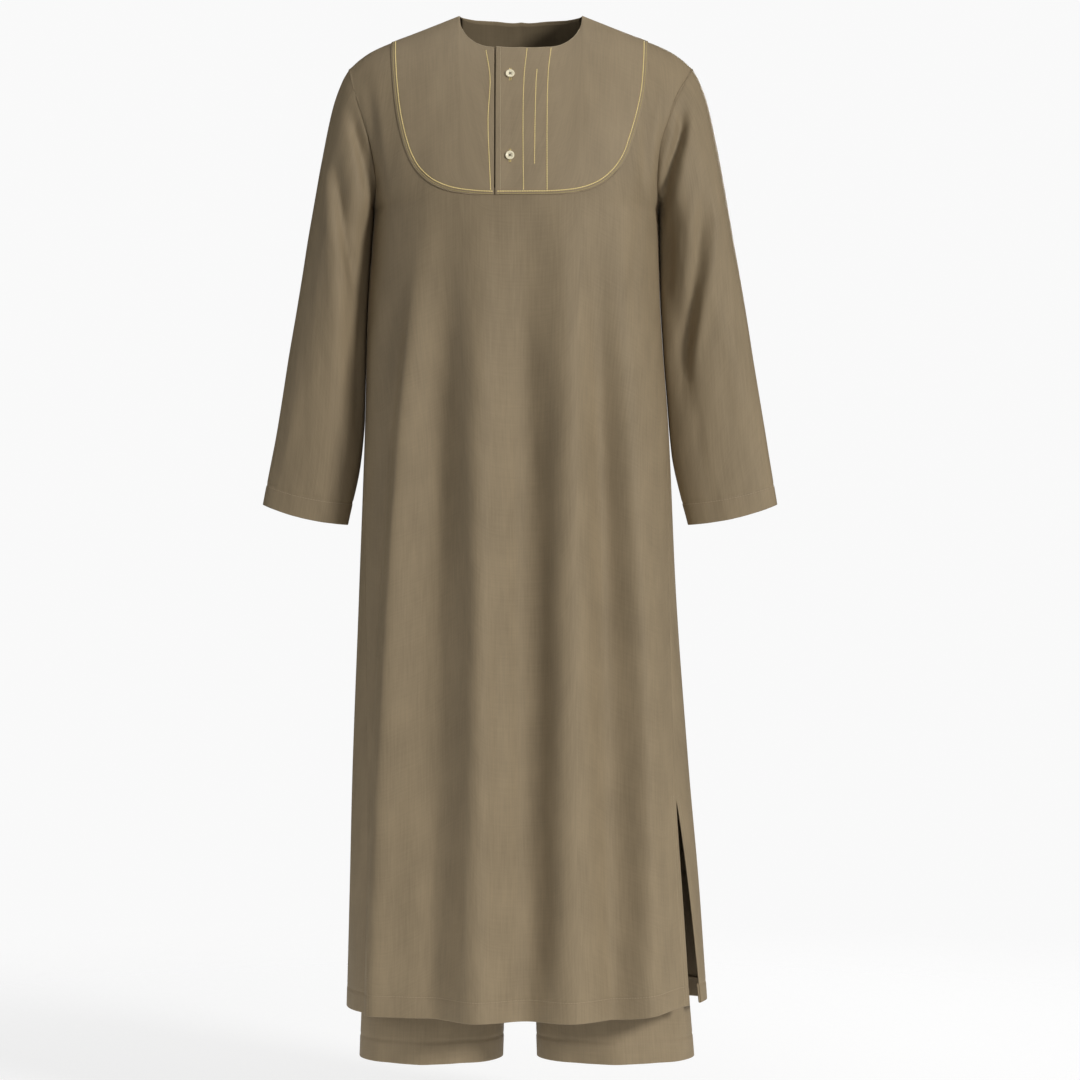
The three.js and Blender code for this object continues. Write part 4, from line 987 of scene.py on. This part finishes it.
# Short stitches along a path of points with normals, all in one object: each is a tube whose
# middle stands proud by the lift and whose ends dip into the cloth.
def stitches(name, path, normals, kind):
    thread = threadKinds[kind]
    rings, sides = len(stitch["taper"]), stitch["sides"]
    way = np.concatenate([[0], np.cumsum(np.linalg.norm(np.diff(path, axis=0), axis=-1))])
    count = max(int(way[-1] / (thread["length"] + thread["space"])), 1)
    start = (np.arange(count) + 0.5) * way[-1] / count - thread["length"] / 2
    along = np.linspace(0, 1, rings)
    at = start[:, None] + along[None] * thread["length"]
    centre = np.stack([np.interp(at, way, path[:, k]) for k in range(3)], axis=-1)
    normal = unit(np.stack([np.interp(at, way, normals[:, k]) for k in range(3)], axis=-1))
    proud = thread.get("lift", 0.25) * (1 - (2 * along - 1) ** 4) - stitch["sunk"]
    centre += normal * proud[None, :, None]
    tangent = unit(np.gradient(centre, axis=1))
    aside = unit(np.cross(tangent, normal))
    up = np.cross(aside, tangent)
    a = np.linspace(0, 2 * np.pi, sides, endpoint=False)[:, None]
    size = np.array(stitch["taper"])[None, :, None, None] * thread["radius"]
    tube = centre[:, :, None] + size * (np.cos(a) * aside[:, :, None] + np.sin(a) * up[:, :, None])
    s, i, j = np.meshgrid(np.arange(count), np.arange(rings - 1), np.arange(sides), indexing="ij")
    here = (s * rings + i) * sides
    k = (j + 1) % sides
    quads = np.stack([here + j, here + sides + j, here + sides + k, here + k], axis=-1)
    first = (np.arange(count) * rings * sides)[:, None] + np.arange(sides)[None]
    last = (first + (rings - 1) * sides)[:, ::-1]
    faces = quads.reshape(-1, 4).tolist() + first.tolist() + last.tolist()
    obj = meshObject(name, tube.reshape(-1, 3), faces, thread["material"])
    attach(obj, "root")
    return obj


# The nearest grid point's place moved onto (x, z) as seen from the front.
def onGrid(p, n, x, z):
    flat = p[..., [0, 2]].reshape(-1, 2)
    near = np.array([np.argmin(((flat - c) ** 2).sum(-1)) for c in np.stack([x, z], -1)])
    base, normal = p.reshape(-1, 3)[near], n.reshape(-1, 3)[near]
    off = stack(x - base[:, 0], 0 * x, z - base[:, 2])
    steep = np.where(np.abs(normal[:, 1]) < 0.2, -0.2, normal[:, 1])
    off[:, 1] = -(normal[:, 0] * off[:, 0] + normal[:, 2] * off[:, 2]) / steep
    return base + off, normal


def smoothPath(x, z, count):
    x, z = np.asarray(x, float), np.asarray(z, float)
    way = np.concatenate([[0], np.cumsum(np.hypot(np.diff(x), np.diff(z)))])
    at = np.linspace(0, way[-1], count)
    return curve(way, x, at), curve(way, z, at)


# Two rows inside the bib's outline, from the shoulder seam round to the opening.
for name, side in sides:
    xs = [side * v for v in bib[name]] + [placket["openX"] + side * 3]
    zs = bib["z"] + [-254.5]
    if side > 0:
        xs.insert(-1, 15)
        zs.insert(-1, -254.2)
    x, z = smoothPath(xs, zs, 240)
    dx, dz = np.gradient(x), np.gradient(z)
    size = np.hypot(dx, dz)
    # The outer row, at 2.4 mm, is stitched in a thread painted darker, standing for the dark shadow
    # line along the bib's edge.
    for row, (inset, kind) in enumerate(((2.4, "gold_painted_shade"), (5.6, "outline"))):
        inX, inZ = x + side * dz / size * inset, z - side * dx / size * inset
        stitches(f"bib_{name}_row_{row}", *onGrid(*bibs[name], inX, inZ), kind)
    p, n = bibs[name]
    rim = np.abs(p[0, :, 0]) < thobe["neckHalf"] - 2
    path = p[0, rim] + 2.0 * unit(p[3, rim] - p[0, rim])
    stitches(f"neck_row_{name}", path, n[1, rim], "neck")

# Vertical rows of the placket: (piece, x, z, thread).
placketRows = [
    ("right", (-45.7, -40, -42.3, -38.7), (-56, -97, -156, -247), "gold"),
    ("left", (-27, -26.6, -26.4, -26.2), (-52, -97, -156, -247), "pale"),
    ("left", (8.4, 4.5, 3.3, 3.9), (-54, -97, -156, -247), "gold"),
    ("left", (21.6, 20.3, 19.0, 18.3), (-84, -101, -155, -213), "gold"),
    ("left", (40, 36, 34.6, 34.6), (-53, -92, -163, -247), "gold"),
]
for row, (name, x, z, kind) in enumerate(placketRows):
    path, normal = onGrid(*bibs[name], *smoothPath(x, z, 90))
    stitches(f"placket_row_{row}", path, normal, kind)


# The row of a grid that lies a fold's depth above its last row.
def hemRow(p, fold):
    down = np.linalg.norm(np.diff(p, axis=0), axis=-1)
    return np.argmin(np.abs(np.cumsum(down[::-1], axis=0)[::-1] - fold).mean(axis=1))


# Hem rows, and rows beside the slits measured in from the panel's side edges.
for face in faces:
    p, n = panels[face]
    row = hemRow(p, thobe["hemFold"])
    stitches(f"hem_row_{face}", p[row, 2:-2], n[row, 2:-2], "hem")
    rows = np.flatnonzero(p[:, 0, 2] < thobe["slitTop"] + 12)[:-1]
    for side, end, steady, inner in (("right", 0, 2, 3), ("left", -1, -3, -4)):
        for inset in ((6.5, 11.5) if face == "front" else (6.5,)):
            path = p[rows, end] + inset * unit(p[rows, inner] - p[rows, end])
            stitches(f"slit_{face}_{side}_{int(inset)}", path, n[rows, steady], "slit")
for name in ("left", "right"):
    row = hemRow(sleeveGrids[name][0], sleeve["hemFold"])
    path, normal = (np.concatenate([part[row], part[row, :1]]) for part in sleeveGrids[name])
    stitches(f"cuff_row_{name}", path, normal, "cuff")
print("stitching done")

# Buttons

button = {"radius": 5.75, "thickness": 2.2, "rim": 0.5, "dish": 0.72, "hole": 0.8, "ring": 1.65,
          "above": 0.9}


# A profile (radius, height) turned round +Z.
def lathe(name, profile, sides, material):
    profile = np.asarray(profile, float)
    a = np.linspace(0, 2 * np.pi, sides, endpoint=False)
    r, h = profile[1:-1, 0], profile[1:-1, 1]
    ring = stack(r[:, None] * np.cos(a), r[:, None] * np.sin(a), h[:, None])
    start, end = [[0, 0, profile[0, 1]]], [[0, 0, profile[-1, 1]]]
    points = np.concatenate([start, ring.reshape(-1, 3), end])
    i, j = np.meshgrid(np.arange(len(r) - 1), np.arange(sides), indexing="ij")
    k = (j + 1) % sides
    here, over = 1 + i * sides, 1 + (i + 1) * sides
    quads = np.stack([here + j, here + k, over + k, over + j], -1).reshape(-1, 4)
    j = np.arange(sides)
    k = (j + 1) % sides
    low = np.stack([0 * j, 1 + k, 1 + j], -1)
    top = 1 + (len(r) - 1) * sides
    high = np.stack([0 * j + len(points) - 1, top + j, top + k], -1)
    return meshObject(name, points, quads.tolist() + low.tolist() + high.tolist(), material)


# Moves an object's mesh so that its +Z faces along a normal, from a place in mm.
def seat(obj, place, normal):
    turn = Vector((0, 0, 1)).rotation_difference(Vector(normal)).to_matrix().to_4x4()
    turn.translation = Vector(place) * metre
    obj.data.transform(turn)
    obj.data.update()


rim, thick, radius = button["rim"], button["thickness"], button["radius"]
a = np.linspace(0, np.pi / 2, 6)
flat = radius - rim
profile = ([(0, 0), (flat, 0)]
           + [(flat + rim * math.sin(v), rim - rim * math.cos(v)) for v in a[1:]]
           + [(flat + rim * math.cos(v), thick - rim + rim * math.sin(v)) for v in a]
           + [(radius - 2.6 * rim, thick), (radius - 3.6 * rim, thick - 0.25),
              (radius - 4.6 * rim, thick - 0.55), (1.2, thick - 0.7), (0, thick - button["dish"])])
drillProfile = [(0, -1), (button["hole"], -1), (button["hole"], 4), (0, 4)]
corners = [(button["ring"] * math.cos(v), button["ring"] * math.sin(v))
           for v in np.pi / 4 + np.arange(4) * np.pi / 2]
for name, z in zip(("upper", "lower"), placket["buttons"]):
    place, normal = onGrid(*bibs["left"], np.array([placket["buttonX"]]), np.array([float(z)]))
    place, normal = place[0], normal[0]
    body = lathe(f"button_{name}_disc", profile, 64, buttonLook)
    drills = []
    for x, y in corners:
        drill = lathe("drill", drillProfile, 20, buttonLook)
        drill.data.transform(Matrix.Translation((x * metre, y * metre, 0)))
        drills.append(drill)
    for drill in drills:
        hole = body.modifiers.new("hole", "BOOLEAN")
        hole.operation = "DIFFERENCE"
        hole.solver = "EXACT"
        hole.object = drill
    bpy.context.view_layer.update()
    depsgraph = bpy.context.evaluated_depsgraph_get()
    carved = bpy.data.meshes.new_from_object(body.evaluated_get(depsgraph))
    body.modifiers.clear()
    body.data = carved
    for drill in drills:
        bpy.data.objects.remove(drill)
    seat(body, place + normal * button["above"], normal)
    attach(body, "root")
    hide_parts(f"button_{name}")
    # Its thread, a bar across each pair of holes.
    up = thick - button["dish"] + 0.3
    s = np.linspace(0, 1, 9)[:, None]
    upright = np.tile([0.0, 0, 1], (9, 1))
    for first, second in ((0, 2), (1, 3)):
        bar = np.array(corners[first]) * (1 - s) + np.array(corners[second]) * s
        height = up + 0.12 * first + 0 * s - 1.2 * (2 * s - 1) ** 8
        line = np.concatenate([bar, height], axis=1)
        thread = stitches(f"button_{name}_thread_{first}", line, upright, "button")
        seat(thread, place + normal * button["above"], normal)
    # The buttonhole's satin stitches: short bars across the slit's edges.
    half = placket["holeLength"] / 2 + 0.6
    barZ = np.linspace(z - half, z + half, 60)
    for side in (-1, 1):
        barX = np.full(60, placket["buttonX"] + side * 0.95)
        path, barNormal = onGrid(*bibs["left"], barX, barZ)
        stitches(f"buttonhole_{name}_{side + 1}", path, barNormal, "buttonhole")
print("buttons done")

# Stage, light and camera

stage = {"radius": 2400, "z": -1.5, "grey": 0.38, "glow": 0.64, "fadeFrom": 0.9, "fadeTo": 2.3,
         "white": 0.95}

paleFloor = plainMaterial("pale_floor", [stage["grey"]] * 3, 0.9, 0.1)
tree = paleFloor.node_tree
shader = tree.nodes["Principled BSDF"]
shader.inputs["Emission Color"].default_value = (1, 1, 1, 1)
shader.inputs["Emission Strength"].default_value = stage["glow"]
# The floor's rim fades into the white behind it.
place = tree.nodes.new("ShaderNodeTexCoord")
distance = tree.nodes.new("ShaderNodeVectorMath")
distance.operation = "LENGTH"
link(tree, place, "Object", distance, "Vector")
fade = tree.nodes.new("ShaderNodeMapRange")
fade.interpolation_type = "SMOOTHSTEP"
fade.inputs["From Min"].default_value = stage["fadeFrom"]
fade.inputs["From Max"].default_value = stage["fadeTo"]
link(tree, distance, "Value", fade, "Value")
rim = tree.nodes.new("ShaderNodeMixShader")
link(tree, fade, "Result", rim, "Fac")
tree.links.new(shader.outputs["BSDF"], rim.inputs[1])
tree.links.new(tree.nodes.new("ShaderNodeBsdfTransparent").outputs["BSDF"], rim.inputs[2])
link(tree, rim, "Shader", tree.nodes["Material Output"], "Surface")
around = np.linspace(0, 2 * np.pi, 96, endpoint=False)
disc = stack(np.cos(around), np.sin(around), 0) * stage["radius"]
ground = meshObject("floor", disc, [list(range(96))], paleFloor)
ground.location.z = stage["z"]

# Each light's place, where it points, its size and its power.
lights = {
    "key": ((2.9, -3.1, 0.7), (0, 0, -0.7), 1.0, 132),
    "front": ((-0.9, -4.5, 0.6), (0, 0, -0.7), 2.2, 25),
    "top": ((0, -0.3, 3.0), (0, 0, -1.5), 3.0, 42),
    "left": ((-4.2, -0.6, 0.2), (0, 0, -0.7), 2.2, 34),
    "right": ((4.2, 0.8, 0.2), (0, 0, -0.7), 2.5, 20),
    "back": ((1.1, 4.3, 0.8), (0, 0, -0.7), 1.4, 112),
}
for name, (place, target, size, power) in lights.items():
    data = bpy.data.lights.new(name, "AREA")
    data.shape = "DISK"
    data.size = size
    data.energy = power
    lamp = bpy.data.objects.new(name, data)
    lamp.location = place
    lamp.rotation_euler = (Vector(target) - Vector(place)).to_track_quat("-Z", "Y").to_euler()
    lamp.visible_camera = False
    bpy.context.scene.collection.objects.link(lamp)

# The white behind the garment lights nothing.
world = bpy.data.worlds.new("studio")
world.use_nodes = True
white = world.node_tree.nodes["Background"]
white.inputs["Color"].default_value = (1, 1, 1, 1)
white.inputs["Strength"].default_value = stage["white"]
world.cycles_visibility.diffuse = False
world.cycles_visibility.glossy = False
bpy.context.scene.world = world

view = bpy.data.cameras.new("camera")
view.lens = 99.5
view.sensor_width = 36
view.clip_end = 50
camera = bpy.data.objects.new("camera", view)
camera.location = (0.0255, -4.0, -0.702)
camera.rotation_euler = (math.pi / 2, 0, 0)
bpy.context.scene.collection.objects.link(camera)
bpy.context.scene.camera = camera
bpy.context.scene.view_settings.view_transform = "Standard"
print("stage done")
